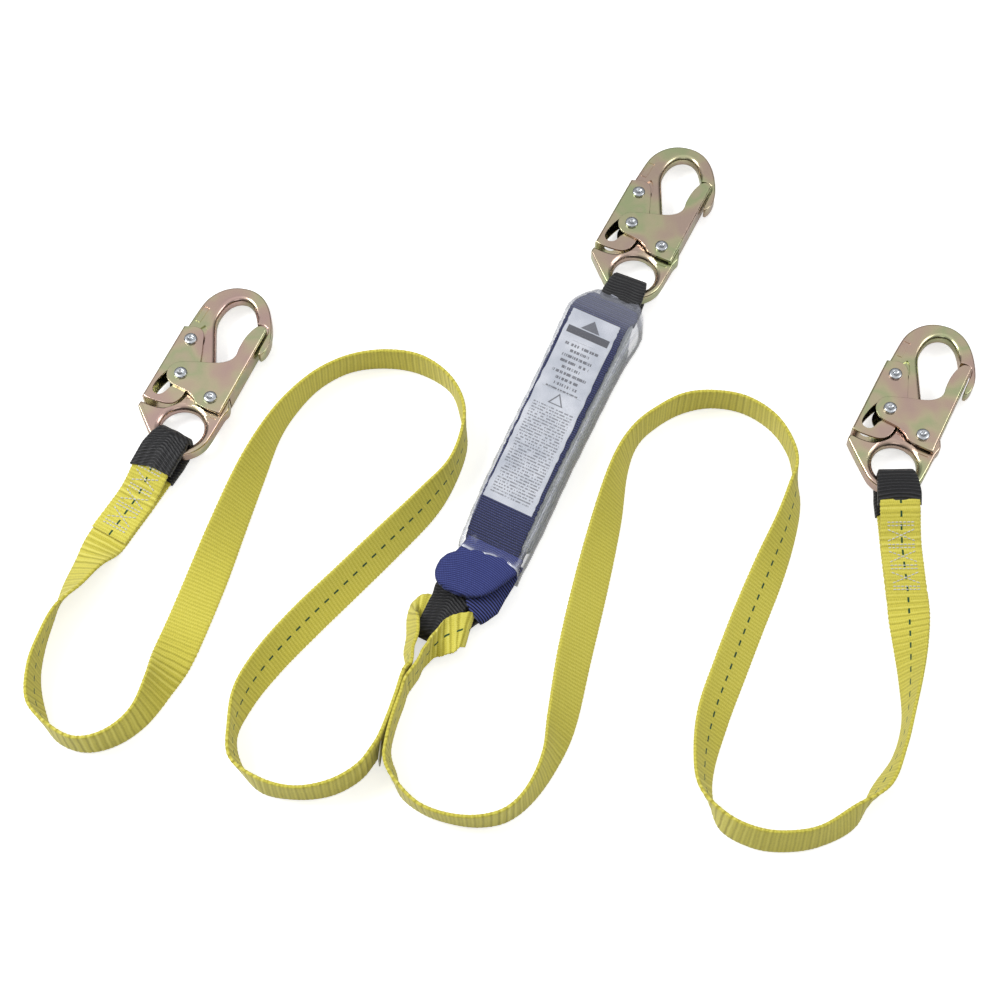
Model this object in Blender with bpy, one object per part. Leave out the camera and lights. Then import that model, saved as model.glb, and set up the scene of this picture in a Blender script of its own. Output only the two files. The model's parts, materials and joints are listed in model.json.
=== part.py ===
"""Twin-leg shock absorbing lanyard: three double-locking snap hooks, an absorber pack and two webbing legs."""

import math

import bmesh
import bpy
from mathutils import Matrix, Vector

# Lengths below are in millimetres; meshes are scaled to metres as they are stored.
MM = 0.001
ORIGIN_X = 37.46
ORIGIN_Y = 78.73

# Snap hook, in its own frame: gate pivot at 0, long axis +Y, mid-plane z = 0.
BODY_HALF = 4.5
LEVER_INNER = 4.8
LEVER_OUTER = 6.2
GATE_INNER = 6.5
GATE_OUTER = 8.0
HEAD_SEAT = 8.25
HEAD_TOP = 9.9
LEVER_SEAT = 6.45
LEVER_HEAD_TOP = 8.1
HEAD_RADIUS = 4.2
SHANK_RADIUS = 2.2
PIN_RADIUS = 2.8
HOLE_CLEARANCE = 0.3
EYE = (-7.0, -25.0)
EYE_RADIUS = 14.0
RING_RADIUS = 20.0
LEVER_PIVOT = (-34.0, 33.0)
LATCH_PIN = (-26.0, 7.3)
THIN_BOSS_HALF = 1.8
HOOK_HEIGHT = HEAD_TOP
# Each hook: gate pivot on the floor plan, heading of its long axis, heading of its strap.
HOOKS = {
    "left": ((-183.1, 63.8), 63.7, -120.0),
    "top": ((106.5, 179.6), 60.6, -113.5),
    "right": ((264.6, 36.4), 59.6, -89.0),
}

# Webbing and wear sleeves.
LEG_WIDTH = 25.0
WEB_THICK = 2.0
SLEEVE_GAP = 0.3
SLEEVE_WALL = 0.85
STITCH_GAP = 0.4
LAYER_LIFT = BODY_HALF + 0.35 + WEB_THICK / 2 + SLEEVE_GAP + SLEEVE_WALL

# Absorber pack, in its own plan frame: +Y towards the top hook.
PACK_CENTRE = (41.2, 43.4)
PACK_HEADING = 62.4
FACE_WIDTH = 35.0
TEAR_WIDTH = 33.0
TEAR_LAYERS = 6
TEAR_THICK = 2.4
TEAR_PITCH = 2.85
TEAR_FLOOR = 4.6
FACE_Z = 22.0
BACK_Z = 2.0
COVER_WALL = 0.6


def clear_scene():
    for obj in list(bpy.data.objects):
        bpy.data.objects.remove(obj)


def material(name, colour, roughness, metallic=0.0):
    found = bpy.data.materials.get(name)
    if found:
        return found
    made = bpy.data.materials.new(name)
    made.use_nodes = True
    shader = made.node_tree.nodes["Principled BSDF"]
    shader.inputs["Base Color"].default_value = (*colour, 1.0)
    shader.inputs["Roughness"].default_value = roughness
    shader.inputs["Metallic"].default_value = metallic
    return made


def plated_steel():
    return material("zinc_plated_steel", (0.55, 0.47, 0.30), 0.32, 1.0)


def rivet_steel():
    return material("rivet_steel", (0.55, 0.57, 0.60), 0.28, 1.0)


def spring_steel():
    return material("spring_steel", (0.35, 0.34, 0.32), 0.35, 1.0)


def yellow_webbing():
    return material("yellow_webbing", (0.72, 0.65, 0.06), 0.8)


def navy_webbing():
    return material("navy_webbing", (0.025, 0.03, 0.16), 0.75)


def tear_webbing():
    return material("tear_webbing", (0.62, 0.66, 0.68), 0.85)


def black_sleeve():
    return material("black_sleeve", (0.012, 0.012, 0.014), 0.7)


def clear_vinyl():
    return material("clear_vinyl", (0.80, 0.83, 0.86), 0.12)


def label_card():
    return material("label_card", (0.82, 0.84, 0.88), 0.5)


def mesh_from(name, verts, faces):
    mesh = bpy.data.meshes.new(name)
    mesh.from_pydata([tuple(v) for v in verts], [], faces)
    work = bmesh.new()
    work.from_mesh(mesh)
    bmesh.ops.recalc_face_normals(work, faces=work.faces)
    work.to_mesh(mesh)
    work.free()
    return mesh


def stored(mesh, look, pivot=(0.0, 0.0), sharp=35.0):
    """Moves the mesh onto its pivot, turns it to metres and gives it its look."""
    mesh.transform(Matrix.Scale(MM, 4) @ Matrix.Translation((-pivot[0], -pivot[1], 0.0)))
    mesh.materials.clear()
    mesh.materials.append(look)
    mesh.shade_smooth()
    mesh.set_sharp_from_angle(angle=math.radians(sharp))
    return mesh


def place(name, mesh, x=0.0, y=0.0, z=0.0, heading=0.0):
    obj = bpy.data.objects.new(name, mesh)
    obj.location = ((x - ORIGIN_X) * MM, (y - ORIGIN_Y) * MM, z * MM)
    obj.rotation_euler = (0.0, 0.0, math.radians(heading))
    bpy.context.scene.collection.objects.link(obj)
    return obj


def cut(mesh, cutters):
    """The mesh with each cutter taken out of it."""
    obj = bpy.data.objects.new("work", mesh)
    bpy.context.scene.collection.objects.link(obj)
    tools = []
    for cutter in cutters:
        tool = bpy.data.objects.new("cutter", cutter)
        tool.hide_render = True
        tool.display_type = "WIRE"
        bpy.context.scene.collection.objects.link(tool)
        step = obj.modifiers.new("cut", "BOOLEAN")
        step.solver = "EXACT"
        step.operation = "DIFFERENCE"
        step.object = tool
        tools.append(tool)
    graph = bpy.context.evaluated_depsgraph_get()
    result = bpy.data.meshes.new_from_object(obj.evaluated_get(graph))
    for tool in tools:
        bpy.data.objects.remove(tool)
    bpy.data.objects.remove(obj)
    return result


def inset(points, share):
    """Each corner moved inwards by its own edge radius times share."""
    moved = []
    count = len(points)
    for i, (x, y, radius) in enumerate(points):
        before = Vector(points[i - 1][:2])
        after = Vector(points[(i + 1) % count][:2])
        here = Vector((x, y))
        along = (here - before).normalized()
        onward = (after - here).normalized()
        normal = Vector((-along.y, along.x)) + Vector((-onward.y, onward.x))
        normal.normalize()
        stretch = min(1.0 / max(normal.dot(Vector((-along.y, along.x))), 0.5), 2.0)
        moved.append(here + normal * radius * share * stretch)
    return moved


def rounded_plate(name, points, half):
    """A plate 2 x half thick with rounded rims; points are (x, y, rim radius), anticlockwise."""
    rings = []
    for side in (1.0, -1.0):
        steps = ((1.0, 0.0), (0.29, 0.29), (0.0, 1.0))
        for share, drop in steps if side > 0 else reversed(steps):
            flat = inset(points, share)
            rings.append([(p.x, p.y, side * (half - drop * q[2])) for p, q in zip(flat, points)])
    count = len(points)
    verts = [v for ring in rings for v in ring]
    faces = [list(range(count)), list(range(len(verts) - count, len(verts)))[::-1]]
    for r in range(len(rings) - 1):
        for i in range(count):
            j = (i + 1) % count
            faces.append([r * count + i, (r + 1) * count + i, (r + 1) * count + j, r * count + j])
    return mesh_from(name, verts, faces)


def prism(points, low, high):
    """A straight prism on a plan outline."""
    count = len(points)
    verts = [(x, y, low) for x, y in points] + [(x, y, high) for x, y in points]
    faces = [list(range(count))[::-1], list(range(count, 2 * count))]
    faces += [[i, (i + 1) % count, count + (i + 1) % count, count + i] for i in range(count)]
    return mesh_from("prism", verts, faces)


def lathe(name, profile, segments, centre=(0.0, 0.0)):
    """A solid of revolution about Z; the profile starts and ends on the axis."""
    verts = [(centre[0], centre[1], profile[0][1]), (centre[0], centre[1], profile[-1][1])]
    rows = profile[1:-1]
    for radius, z in rows:
        for i in range(segments):
            turn = math.tau * i / segments
            verts.append((centre[0] + radius * math.cos(turn), centre[1] + radius * math.sin(turn), z))
    faces = []
    last = 2 + (len(rows) - 1) * segments
    for i in range(segments):
        j = (i + 1) % segments
        faces.append([0, 2 + j, 2 + i])
        faces.append([1, last + i, last + j])
        for r in range(len(rows) - 1):
            low = 2 + r * segments
            faces.append([low + i, low + j, low + segments + j, low + segments + i])
    return mesh_from(name, verts, faces)


def disc(centre, radius, low, high, segments=20):
    return lathe("disc", [(0, low), (radius, low), (radius, high), (0, high)], segments, centre)


def arc(centre, radius, start, end, steps, rim):
    """Points on an arc, ends included, from start to end in degrees."""
    found = []
    for i in range(steps + 1):
        turn = math.radians(start + (end - start) * i / steps)
        found.append((centre[0] + radius * math.cos(turn), centre[1] + radius * math.sin(turn), rim))
    return found


def body_outline():
    """Forged body: hook arc, nose, throat, bar, flange, eye ring and shield, anticlockwise."""
    rim, throat = 1.2, 3.0
    nose = [(8.1, 53.0), (8.8, 46.0), (9.6, 43.4), (11.2, 43.4), (12.3, 46.0), (12.6, 50.5), (11.6, 56.0)]
    crown = [(8.6, 63.2), (4.0, 70.8), (-1.5, 77.4), (-8.0, 82.3), (-15.0, 84.5), (-21.5, 84.2)]
    shoulder = [(-28.8, 81.7), (-34.5, 77.3), (-38.6, 71.5), (-41.0, 65.0), (-41.7, 58.0), (-41.7, 44.0)]
    inside = [(-11.5, 25.0), (-19.9, 40.0), (-25.4, 50.0), (-27.2, 55.0), (-27.7, 61.0), (-26.8, 67.5)]
    inside += [(-24.0, 72.5), (-19.5, 75.4), (-14.5, 75.3), (-9.5, 72.2), (-5.2, 67.2)]
    notch = [(-1.8, 62.8), (0.0, 63.6), (3.0, 63.9), (5.6, 63.0), (7.3, 60.0)]
    flange = [(12.6, -6.0), (13.3, -0.8), (10.6, 5.2), (7.2, 6.6), (3.0, 7.6), (-1.5, 8.2), (-5.5, 14.0)]
    inlet = [(-24.0, 27.0), (-21.3, 22.5), (-17.8, 15.0), (-16.4, 6.0), (-16.2, -2.0), (-17.4, -8.6)]
    shield = [(-20.0, -13.6), (-24.5, -17.4), (-31.0, -19.2), (-40.0, -19.6), (-40.1, -22.5), (-39.3, -24.0)]
    outline = arc(LEVER_PIVOT, 7.7, 180.0, 300.0, 5, 0.6)
    outline += [(x, y, rim) for x, y in inlet + shield]
    outline += arc(EYE, RING_RADIUS, -130.0, 2.0, 9, 1.6)
    outline += [(x, y, rim) for x, y in flange]
    outline += [(x, y, throat) for x, y in inside]
    outline += [(x, y, 0.7) for x, y in notch + nose]
    outline += [(x, y, rim) for x, y in crown + shoulder]
    return outline


def body_cutters():
    flare = [(0, -7), (18.0, -7), (16.6, -4.5), (14.5, -3.6), (EYE_RADIUS, -2.3), (EYE_RADIUS, 2.3)]
    flare += [(14.5, 3.6), (16.6, 4.5), (18.0, 7), (0, 7)]
    cutters = [lathe("eye", flare, 28, EYE)]
    valley = [(-34.4, 60.0), (-35.0, 47.0), (-31.0, 41.5), (-27.5, 37.5), (-26.0, 38.5), (-31.4, 50.5)]
    pads = [[(-40.2, 46.0), (-36.4, 46.0), (-36.4, 61.0), (-40.2, 61.0)]]
    pads.append([(-14.6, -8.2), (-11.0, -8.2), (-11.0, -2.4), (-14.6, -2.4)])
    pads.append([(2.6, -12.6), (9.6, -11.8), (9.2, -8.9), (2.2, -9.4)])
    for side in (1.0, -1.0):
        for outline, depth in [(valley, 1.6)] + [(pad, 0.45) for pad in pads]:
            floor = side * (BODY_HALF - depth)
            cutters.append(prism(outline, min(floor, side * 9), max(floor, side * 9)))
        for centre, radius in (((0.0, 0.0), 8.5), (LEVER_PIVOT, 8.8)):
            edge = side * THIN_BOSS_HALF
            cutters.append(disc(centre, radius, min(edge, side * 9), max(edge, side * 9)))
    for centre in ((0.0, 0.0), LEVER_PIVOT):
        cutters.append(disc(centre, SHANK_RADIUS + HOLE_CLEARANCE, -9, 9, 16))
    return cutters


def hook_body_mesh():
    plate = rounded_plate("hook_body", body_outline(), BODY_HALF)
    return stored(cut(plate, body_cutters()), plated_steel(), EYE)


def gate_outline():
    """Keeper side plate: latch lobe, heel, outer web edge and tip, anticlockwise."""
    web, edge = 1.6, 0.3
    heel = [(-20.0, -1.9), (-14.5, -2.6), (-10.0, -4.6), (-6.6, -7.2), (-2.5, -8.0), (4.0, -7.8)]
    tip = [(5.7, 61.3), (2.5, 61.2), (0.2, 59.6), (-1.8, 54.0), (-2.6, 47.5), (-2.2, 40.0), (-1.3, 35.0)]
    tip += [(-2.2, 31.0), (-4.8, 27.6), (-8.5, 24.9), (-13.0, 22.8), (-22.5, 18.9)]
    outline = arc(LATCH_PIN, 9.0, 110.0, 262.0, 6, edge)
    outline += [(x, y, edge) for x, y in heel]
    outline += [(10.9, -7.6, web), (6.9, 60.0, web)]
    return outline + [(x, y, edge) for x, y in tip]


def gate_mesh():
    """U-shaped keeper: two plates joined by a web, slotted at the heel for the body flange."""
    plate = rounded_plate("gate", gate_outline(), GATE_OUTER)
    hollow = prism([(-40, -12), (9.55, -12), (5.1, 64), (-40, 64)], -GATE_INNER, GATE_INNER)
    slot = prism([(5, -12), (16, -12), (16, 6.6), (5, 6.6)], -BODY_HALF - 0.7, BODY_HALF + 0.7)
    pivot_hole = disc((0.0, 0.0), SHANK_RADIUS + HOLE_CLEARANCE, -12, 12, 16)
    pin_hole = disc(LATCH_PIN, PIN_RADIUS + HOLE_CLEARANCE, -12, 12, 16)
    return stored(cut(plate, [hollow, slot, pivot_hole, pin_hole]), plated_steel())


def lever_outline():
    """Lock lever side plate, anticlockwise from the foot of its web."""
    edge, web = 0.3, 1.4
    foot = [(-36.0, -16.6), (-30.0, -16.0), (-24.0, -14.8), (-20.0, -12.4), (-17.9, -8.5), (-17.3, -3.0)]
    rise = [(-17.8, 5.0), (-18.5, 15.0), (-19.8, 21.0), (-27.2, 37.8), (-29.0, 41.0), (-32.2, 43.0)]
    top = [(-37.0, 42.8), (-40.5, 41.2)]
    outline = [(-40.7, -16.6, web)]
    outline += [(x, y, edge) for x, y in foot + rise + top]
    return outline + [(-43.5, 40.6, web)]


def pin_slot():
    """Room the latch pin sweeps in the lever plate, with the shoulder that holds it when locked."""
    shoulder = [(-22.6, 8.2), (-38.0, -5.5)]
    left = [(-37.4, 0.0), (-36.2, 5.0), (-34.6, 9.0), (-32.0, 11.0), (-28.5, 11.3), (-25.6, 10.8), (-23.7, 9.8)]
    right = [(-22.7, 6.2), (-23.9, 3.6), (-25.2, 0.9), (-26.6, -1.8), (-28.2, -4.6), (-28.9, -7.6)]
    end = [(-30.3, -10.3), (-32.8, -11.6), (-35.4, -11.3), (-37.4, -9.2)]
    return left[::-1] + [shoulder[1]] + end[::-1] + right[::-1] + [shoulder[0]]


def lever_mesh():
    plate = rounded_plate("lock_lever", lever_outline(), LEVER_OUTER)
    hollow = prism([(-39.25, -24), (-10, -24), (-10, 50), (-42.6, 50)], -LEVER_INNER, LEVER_INNER)
    slot = prism(pin_slot(), -12, 12)
    hole = disc(LEVER_PIVOT, SHANK_RADIUS + HOLE_CLEARANCE, -12, 12, 16)
    return stored(cut(plate, [hollow, slot, hole]), plated_steel(), LEVER_PIVOT)


def rivet_mesh(name, shank, seat, top):
    """A rivet with a domed, dimpled head at both ends."""
    head = [(shank, seat), (HEAD_RADIUS, seat), (HEAD_RADIUS, seat + 0.5), (HEAD_RADIUS * 0.72, top - 0.25)]
    head += [(HEAD_RADIUS * 0.3, top), (0.0, top - 0.45)]
    profile = [(r, -z) for r, z in reversed(head)] + head
    return stored(lathe(name, profile, 12), rivet_steel())


def tube(points, radius, sides):
    """A round wire along a path, closed at both ends."""
    verts, faces = [], []
    across = Vector((0.0, 0.0, 1.0))
    for i, point in enumerate(points):
        ahead = points[min(i + 1, len(points) - 1)] - points[max(i - 1, 0)]
        side = ahead.cross(across).normalized()
        upward = side.cross(ahead).normalized()
        for k in range(sides):
            turn = math.tau * k / sides
            verts.append(point + side * radius * math.cos(turn) + upward * radius * math.sin(turn))
    for i in range(len(points) - 1):
        for k in range(sides):
            j = (k + 1) % sides
            faces.append([i * sides + k, i * sides + j, (i + 1) * sides + j, (i + 1) * sides + k])
    faces.append(list(range(sides)))
    faces.append(list(range((len(points) - 1) * sides, len(points) * sides)))
    return mesh_from("wire", verts, faces)


def torsion_spring_mesh(coil, wire, low, high, start, turns, lead_out, tail_out):
    """A short torsion spring about Z with a straight leg at each end."""
    steps = round(turns * 10)
    path = []
    for i in range(steps + 1):
        turn = math.radians(start) + math.tau * turns * i / steps
        height = low + (high - low) * i / steps
        path.append(Vector((coil * math.cos(turn), coil * math.sin(turn), height)))
    first = (path[0] - path[1]).normalized()
    last = (path[-1] - path[-2]).normalized()
    path.insert(0, path[0] + Vector((first.x, first.y, 0)) * lead_out)
    path.append(path[-1] + Vector((last.x, last.y, 0)) * tail_out)
    return stored(tube(path, wire, 4), spring_steel())


def on_plan(frame, x, y):
    """A point of a plan frame (origin, heading of its +Y) on the floor plan."""
    origin, heading = frame
    turn = math.radians(heading - 90.0)
    return (
        origin[0] + x * math.cos(turn) - y * math.sin(turn),
        origin[1] + x * math.sin(turn) + y * math.cos(turn),
    )


def add_hooks():
    meshes = {
        "hook_body": (hook_body_mesh(), EYE, 0.0),
        "gate": (gate_mesh(), (0.0, 0.0), 0.0),
        "lock_lever": (lever_mesh(), LEVER_PIVOT, 0.0),
        "gate_rivet": (rivet_mesh("gate_rivet", SHANK_RADIUS, HEAD_SEAT, HEAD_TOP), (0.0, 0.0), 0.0),
        "lever_rivet": (rivet_mesh("lever_rivet", SHANK_RADIUS, LEVER_SEAT, LEVER_HEAD_TOP), LEVER_PIVOT, 0.0),
        "latch_pin": (rivet_mesh("latch_pin", PIN_RADIUS, HEAD_SEAT, HEAD_TOP), LATCH_PIN, 0.0),
        "gate_spring": (torsion_spring_mesh(4.6, 0.55, 2.75, 5.6, 200.0, 2.5, 2.2, 7.0), (0.0, 0.0), 0.0),
        "lever_spring": (torsion_spring_mesh(4.4, 0.4, 2.6, 3.9, 70.0, 1.5, 2.0, 4.0), LEVER_PIVOT, 0.0),
    }
    for which, (pivot, heading, _) in HOOKS.items():
        for part, (mesh, spot, lift) in meshes.items():
            x, y = on_plan((pivot, heading), *spot)
            place(f"{which}_{part}", mesh, x, y, HOOK_HEIGHT + lift, heading - 90.0)


def station(x, y, z, lean=0.0, width=1.0, across=None):
    """One route point: place, roll of the strap (0 flat, 90 on edge), width share, fixed width heading or vector."""
    return {"at": Vector((x, y, z)), "lean": lean, "width": width, "across": across}


def width_vectors(route):
    """The direction of the strap's width at each route point."""
    found = []
    for i, spot in enumerate(route):
        ahead = route[min(i + 1, len(route) - 1)]["at"] - route[max(i - 1, 0)]["at"]
        if isinstance(spot["across"], Vector):
            found.append(spot["across"])
            continue
        if spot["across"] is not None:
            turn = math.radians(spot["across"])
            found.append(Vector((math.cos(turn), math.sin(turn), 0.0)))
            continue
        right = Vector((ahead.y, -ahead.x, 0.0)).normalized()
        lean = math.radians(spot["lean"])
        found.append(right * math.cos(lean) + Vector((0.0, 0.0, math.sin(lean))))
    return found


def spline(values, i, t):
    """Catmull-Rom between values i and i + 1."""
    a, b = values[max(i - 1, 0)], values[i]
    c, d = values[i + 1], values[min(i + 2, len(values) - 1)]
    return b + (c - a) * 0.5 * t + (a * 2 - b * 5 + c * 4 - d) * 0.5 * t**2 + ((b - c) * 3 + d - a) * 0.5 * t**3


def sampled(route, steps):
    """Smooth stations (centre, width direction, face direction, width share) along a route."""
    spots = [spot["at"] for spot in route]
    widths = width_vectors(route)
    shares = [spot["width"] for spot in route]
    raw = []
    for i in range(len(route) - 1):
        for k in range(steps + (i == len(route) - 2)):
            t = k / steps
            raw.append((spline(spots, i, t), widths[i].lerp(widths[i + 1], t), shares[i] * (1 - t) + shares[i + 1] * t))
    found = []
    for i, (point, wide, share) in enumerate(raw):
        ahead = (raw[min(i + 1, len(raw) - 1)][0] - raw[max(i - 1, 0)][0]).normalized()
        wide = wide.normalized()
        found.append((point, wide, wide.cross(ahead).normalized(), share))
    return found


def ring_at(spot, width, thick):
    centre, wide, face, share = spot
    corners = ((-0.5, -0.5), (0.5, -0.5), (0.5, 0.5), (-0.5, 0.5))
    return [centre + wide * width * share * a + face * thick * b for a, b in corners]


def joined_rings(verts, count, first, flip=False):
    """Side faces of a run of four-cornered rings."""
    faces = []
    for i in range(count - 1):
        for k in range(4):
            j = (k + 1) % 4
            low = first + i * 4
            halves = ([low + k, low + j, low + 4 + j], [low + k, low + 4 + j, low + 4 + k])
            faces += [half[::-1] if flip else half for half in halves]
    return faces


def strap_mesh(name, stations, width, thick, look):
    verts = [v for spot in stations for v in ring_at(spot, width, thick)]
    faces = joined_rings(verts, len(stations), 0)
    faces += [[3, 2, 1, 0], list(range(len(verts) - 4, len(verts)))]
    return stored(mesh_from(name, verts, faces), look, sharp=50.0)


def sleeve_mesh(name, stations, width, thick):
    """A flat open-ended tube round a strap of the given section."""
    inner = [v for spot in stations for v in ring_at(spot, width + 2 * SLEEVE_GAP, thick + 2 * SLEEVE_GAP)]
    grow = 2 * (SLEEVE_GAP + SLEEVE_WALL)
    outer = [v for spot in stations for v in ring_at(spot, width + grow, thick + grow)]
    verts = outer + inner
    base, count = len(outer), len(stations)
    faces = joined_rings(verts, count, 0) + joined_rings(verts, count, base, True)
    for end in (0, (count - 1) * 4):
        for k in range(4):
            j = (k + 1) % 4
            faces.append([end + k, end + j, base + end + j, base + end + k])
    return stored(mesh_from(name, verts, faces), black_sleeve(), sharp=50.0)


def eye_loop(which, tail_on_top):
    """Route round the ring of a hook: in on one layer, through the eye, out on the other."""
    pivot, heading, strap = HOOKS[which]
    eye = on_plan((pivot, heading), *EYE)
    away = math.radians(strap)
    side = 1.0 if tail_on_top else -1.0
    across = strap + 90.0
    bend = [(22.0, 1.0, 1.0), (14.0, 1.0, 0.95), (9.2, 0.93, 0.86), (6.5, 0.58, 0.80), (5.4, 0.0, 0.78)]
    bend += [(s, -lift, share) for s, lift, share in reversed(bend[:-1])]
    route = []
    for s, lift, share in bend:
        z = HOOK_HEIGHT + side * lift * LAYER_LIFT
        route.append(station(eye[0] + s * math.cos(away), eye[1] + s * math.sin(away), z, 0.0, share, across))
    return route


def leg_stations(points):
    """Route points (x, y, lean) of a free leg, its lower edge just above the floor."""
    found = []
    for x, y, lean in points:
        rise = math.radians(lean)
        z = 0.3 + LEG_WIDTH / 2 * abs(math.sin(rise)) + WEB_THICK / 2 * abs(math.cos(rise))
        found.append(station(x, y, z, lean))
    return found


def flat_layer(which, spots, across):
    """Straight stations leaving a hook along its strap: (distance, height) pairs."""
    pivot, heading, strap = HOOKS[which]
    eye = on_plan((pivot, heading), *EYE)
    away = math.radians(strap)
    route = []
    for s, z in spots:
        route.append(station(eye[0] + s * math.cos(away), eye[1] + s * math.sin(away), z, 0.0, 1.0, across))
    return route


LOW_LAYER = 0.3 + WEB_THICK / 2
HIGH_LAYER = LOW_LAYER + WEB_THICK + STITCH_GAP
RING_LOW = HOOK_HEIGHT - LAYER_LIFT
RING_HIGH = HOOK_HEIGHT + LAYER_LIFT


def left_hook_end():
    """Tail on top, round the ring, and back underneath as the leg."""
    tail = [(82.0, HIGH_LAYER), (66.0, HIGH_LAYER), (52.0, HIGH_LAYER + 0.6), (42.0, 8.2), (33.0, 13.6)]
    leg = [(33.0, RING_LOW - 0.3), (44.0, 2.0), (56.0, LOW_LAYER), (72.0, LOW_LAYER), (86.0, LOW_LAYER)]
    across = HOOKS["left"][2] + 90.0
    return flat_layer("left", tail, across) + eye_loop("left", True) + flat_layer("left", leg, across)


def right_hook_end():
    """Tail underneath, round the ring, and back on top as the leg."""
    tail = [(88.0, LOW_LAYER), (66.0, LOW_LAYER), (52.0, LOW_LAYER), (42.0, 2.2), (33.0, RING_LOW - 0.2)]
    leg = [(33.0, 13.6), (42.0, 8.4), (52.0, HIGH_LAYER + 0.7), (66.0, HIGH_LAYER), (84.0, HIGH_LAYER)]
    across = HOOKS["right"][2] + 90.0
    return flat_layer("right", tail, across) + eye_loop("right", False) + flat_layer("right", leg, across)


LEFT_RUN = [
    (-251.2, -47.6, 147), (-258.9, -63.7, 131), (-267.4, -82.4, 105), (-273, -101.8, 95), (-275.6, -121.9, 85),
    (-272.3, -142.9, 76), (-261.3, -159, 89), (-244.8, -167.2, 88), (-227.2, -163.5, 92),
    (-211.9, -150.6, 101), (-201.4, -129.2, 122), (-192.2, -99.9, 163), (-180.1, -62.6, 161),
    (-167.5, -23.2, 141), (-155.3, 13.7, 125), (-143.5, 43.2, 105), (-131.2, 63.7, 95), (-115.3, 81.1, 87),
    (-95.3, 92.4, 83), (-72.1, 95.6, 85), (-50.3, 91.2, 87), (-31.9, 77.3, 85), (-23.6, 56.7, 92),
    (-22.8, 36.8, 85), (-30.1, 13.6, 80), (-45.3, -8.5, 61), (-67.9, -34, 53), (-92.7, -61.4, 51),
    (-117.5, -88.7, 50), (-137, -113.3, 57), (-150.3, -135.9, 68), (-156, -158.1, 86), (-152.9, -177.9, 79),
    (-138.3, -191.8, 89), (-117.9, -196.8, 86), (-97.5, -193.8, 89), (-81.1, -183.9, 90), (-72, -170, 90),
    (-67.4, -154, 90), (-64.4, -139, 90), (-61.8, -125, 90),
]
RIGHT_RUN = [
    (-59.9, -129, 90), (-62, -139, 90), (-64.9, -154, 90), (-66, -168, 88), (-63.5, -181.5, 78),
    (-57.6, -194.9, 86), (-44.9, -206.2, 82), (-28.4, -212.3, 82), (-11.2, -213.8, 85), (4.6, -209.4, 89),
    (17.8, -196.8, 96), (28.9, -176.3, 109), (36.3, -150.3, 131), (44.6, -108.3, 142), (55.2, -62.6, 144),
    (66.3, -17.2, 132), (75.3, 18.4, 110), (85.5, 39.6, 96), (100, 53.3, 91), (116.8, 62.8, 89),
    (135.9, 65.6, 84), (155.6, 61.3, 84), (172, 48.9, 85), (181.4, 32.2, 86), (184.3, 14.9, 87),
    (182.1, -2.6, 69), (175.5, -24.5, 56), (163.2, -54.2, 40), (148.8, -87.5, 36), (136.5, -117.8, 37),
    (125.1, -147.4, 41), (118.2, -175.7, 58), (118.1, -196.2, 70), (127.2, -213.9, 93), (144.1, -223.4, 97),
    (162, -225.8, 98), (181.7, -222.6, 99), (201.8, -211.2, 102), (219.2, -193, 70), (231.6, -172, 82),
    (239, -149.5, 83), (243, -124.8, 66), (245.4, -99.9, 43),
]
# The choke: both edges (x, y, z) of the strap where it passes through the loop under the pack.
# Left strand, floor edge then top edge: it rises on edge, leans inwards and dives under the loop.
CHOKE_LEFT = [
    ((-60.0, -118.0, 0.5), (-57.0, -119.5, 24.6)), ((-57.6, -106.0, 0.5), (-51.6, -110.5, 23.6)),
    ((-55.8, -94.0, 0.6), (-48.6, -101.0, 22.8)), ((-55.8, -83.0, 0.8), (-48.4, -92.0, 22.4)),
    ((-54.0, -74.5, 1.2), (-49.6, -85.8, 19.4)), ((-51.0, -69.6, 2.4), (-50.4, -84.2, 13.2)),
    ((-47.4, -67.4, 4.6), (-50.0, -85.6, 7.0)),
]
# Inside the loop, lower and upper edge in the pack's plan frame.
CHOKE_UNDER = [((-18.0, -156.4, 6.35), (-19.5, -136.8, 6.35)), ((-11.0, -156.6, 6.35), (-12.0, -137.2, 6.35))]
CHOKE_MIDDLE = ((0.5, -156.8, 6.35), (0.0, -137.6, 6.35))
CHOKE_TURN = [
    ((2.8, -157.0, 6.35), (2.0, -137.6, 6.35)), ((7.6, -158.2, 6.4), (5.4, -138.0, 6.5)),
    ((11.6, -159.4, 8.0), (7.4, -138.4, 8.4)), ((12.9, -160.8, 11.0), (8.0, -138.9, 11.4)),
    ((11.6, -163.2, 13.6), (6.4, -140.0, 14.6)),
]
# Right strand on top: floor edge then top edge, turning on edge as it leaves the loop.
CHOKE_OUT = [
    ((-27.2, -109.6, 13.2), (-27.2, -86.0, 16.0)), ((-33.0, -110.4, 10.8), (-32.6, -89.4, 17.2)),
    ((-39.4, -109.6, 6.2), (-37.9, -98.3, 20.2)), ((-45.4, -112.9, 3.0), (-43.3, -106.4, 23.2)),
    ((-52.0, -117.6, 1.0), (-50.4, -114.6, 24.7)),
]


def edge_station(low, high):
    """Route point given by the two edges of the strap."""
    low, high = Vector(low), Vector(high)
    across = high - low
    spot = (low + high) / 2
    return station(spot.x, spot.y, spot.z, 0.0, across.length / LEG_WIDTH, across.normalized())


def in_pack(edges):
    """The same pair of edges, from the pack's plan frame to the floor plan."""
    return [(*on_plan((PACK_CENTRE, PACK_HEADING), x, y), z) for x, y, z in edges]


def choke_in():
    """End of the left leg: the top edge leads, so its width turns over as it goes under the loop."""
    route = [edge_station(low, high) for low, high in CHOKE_LEFT]
    return route + [edge_station(*reversed(in_pack(edges))) for edges in CHOKE_UNDER + [CHOKE_MIDDLE]]


def choke_out():
    route = [edge_station(*in_pack(edges)) for edges in CHOKE_TURN]
    return route + [edge_station(low, high) for low, high in CHOKE_OUT]


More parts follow.
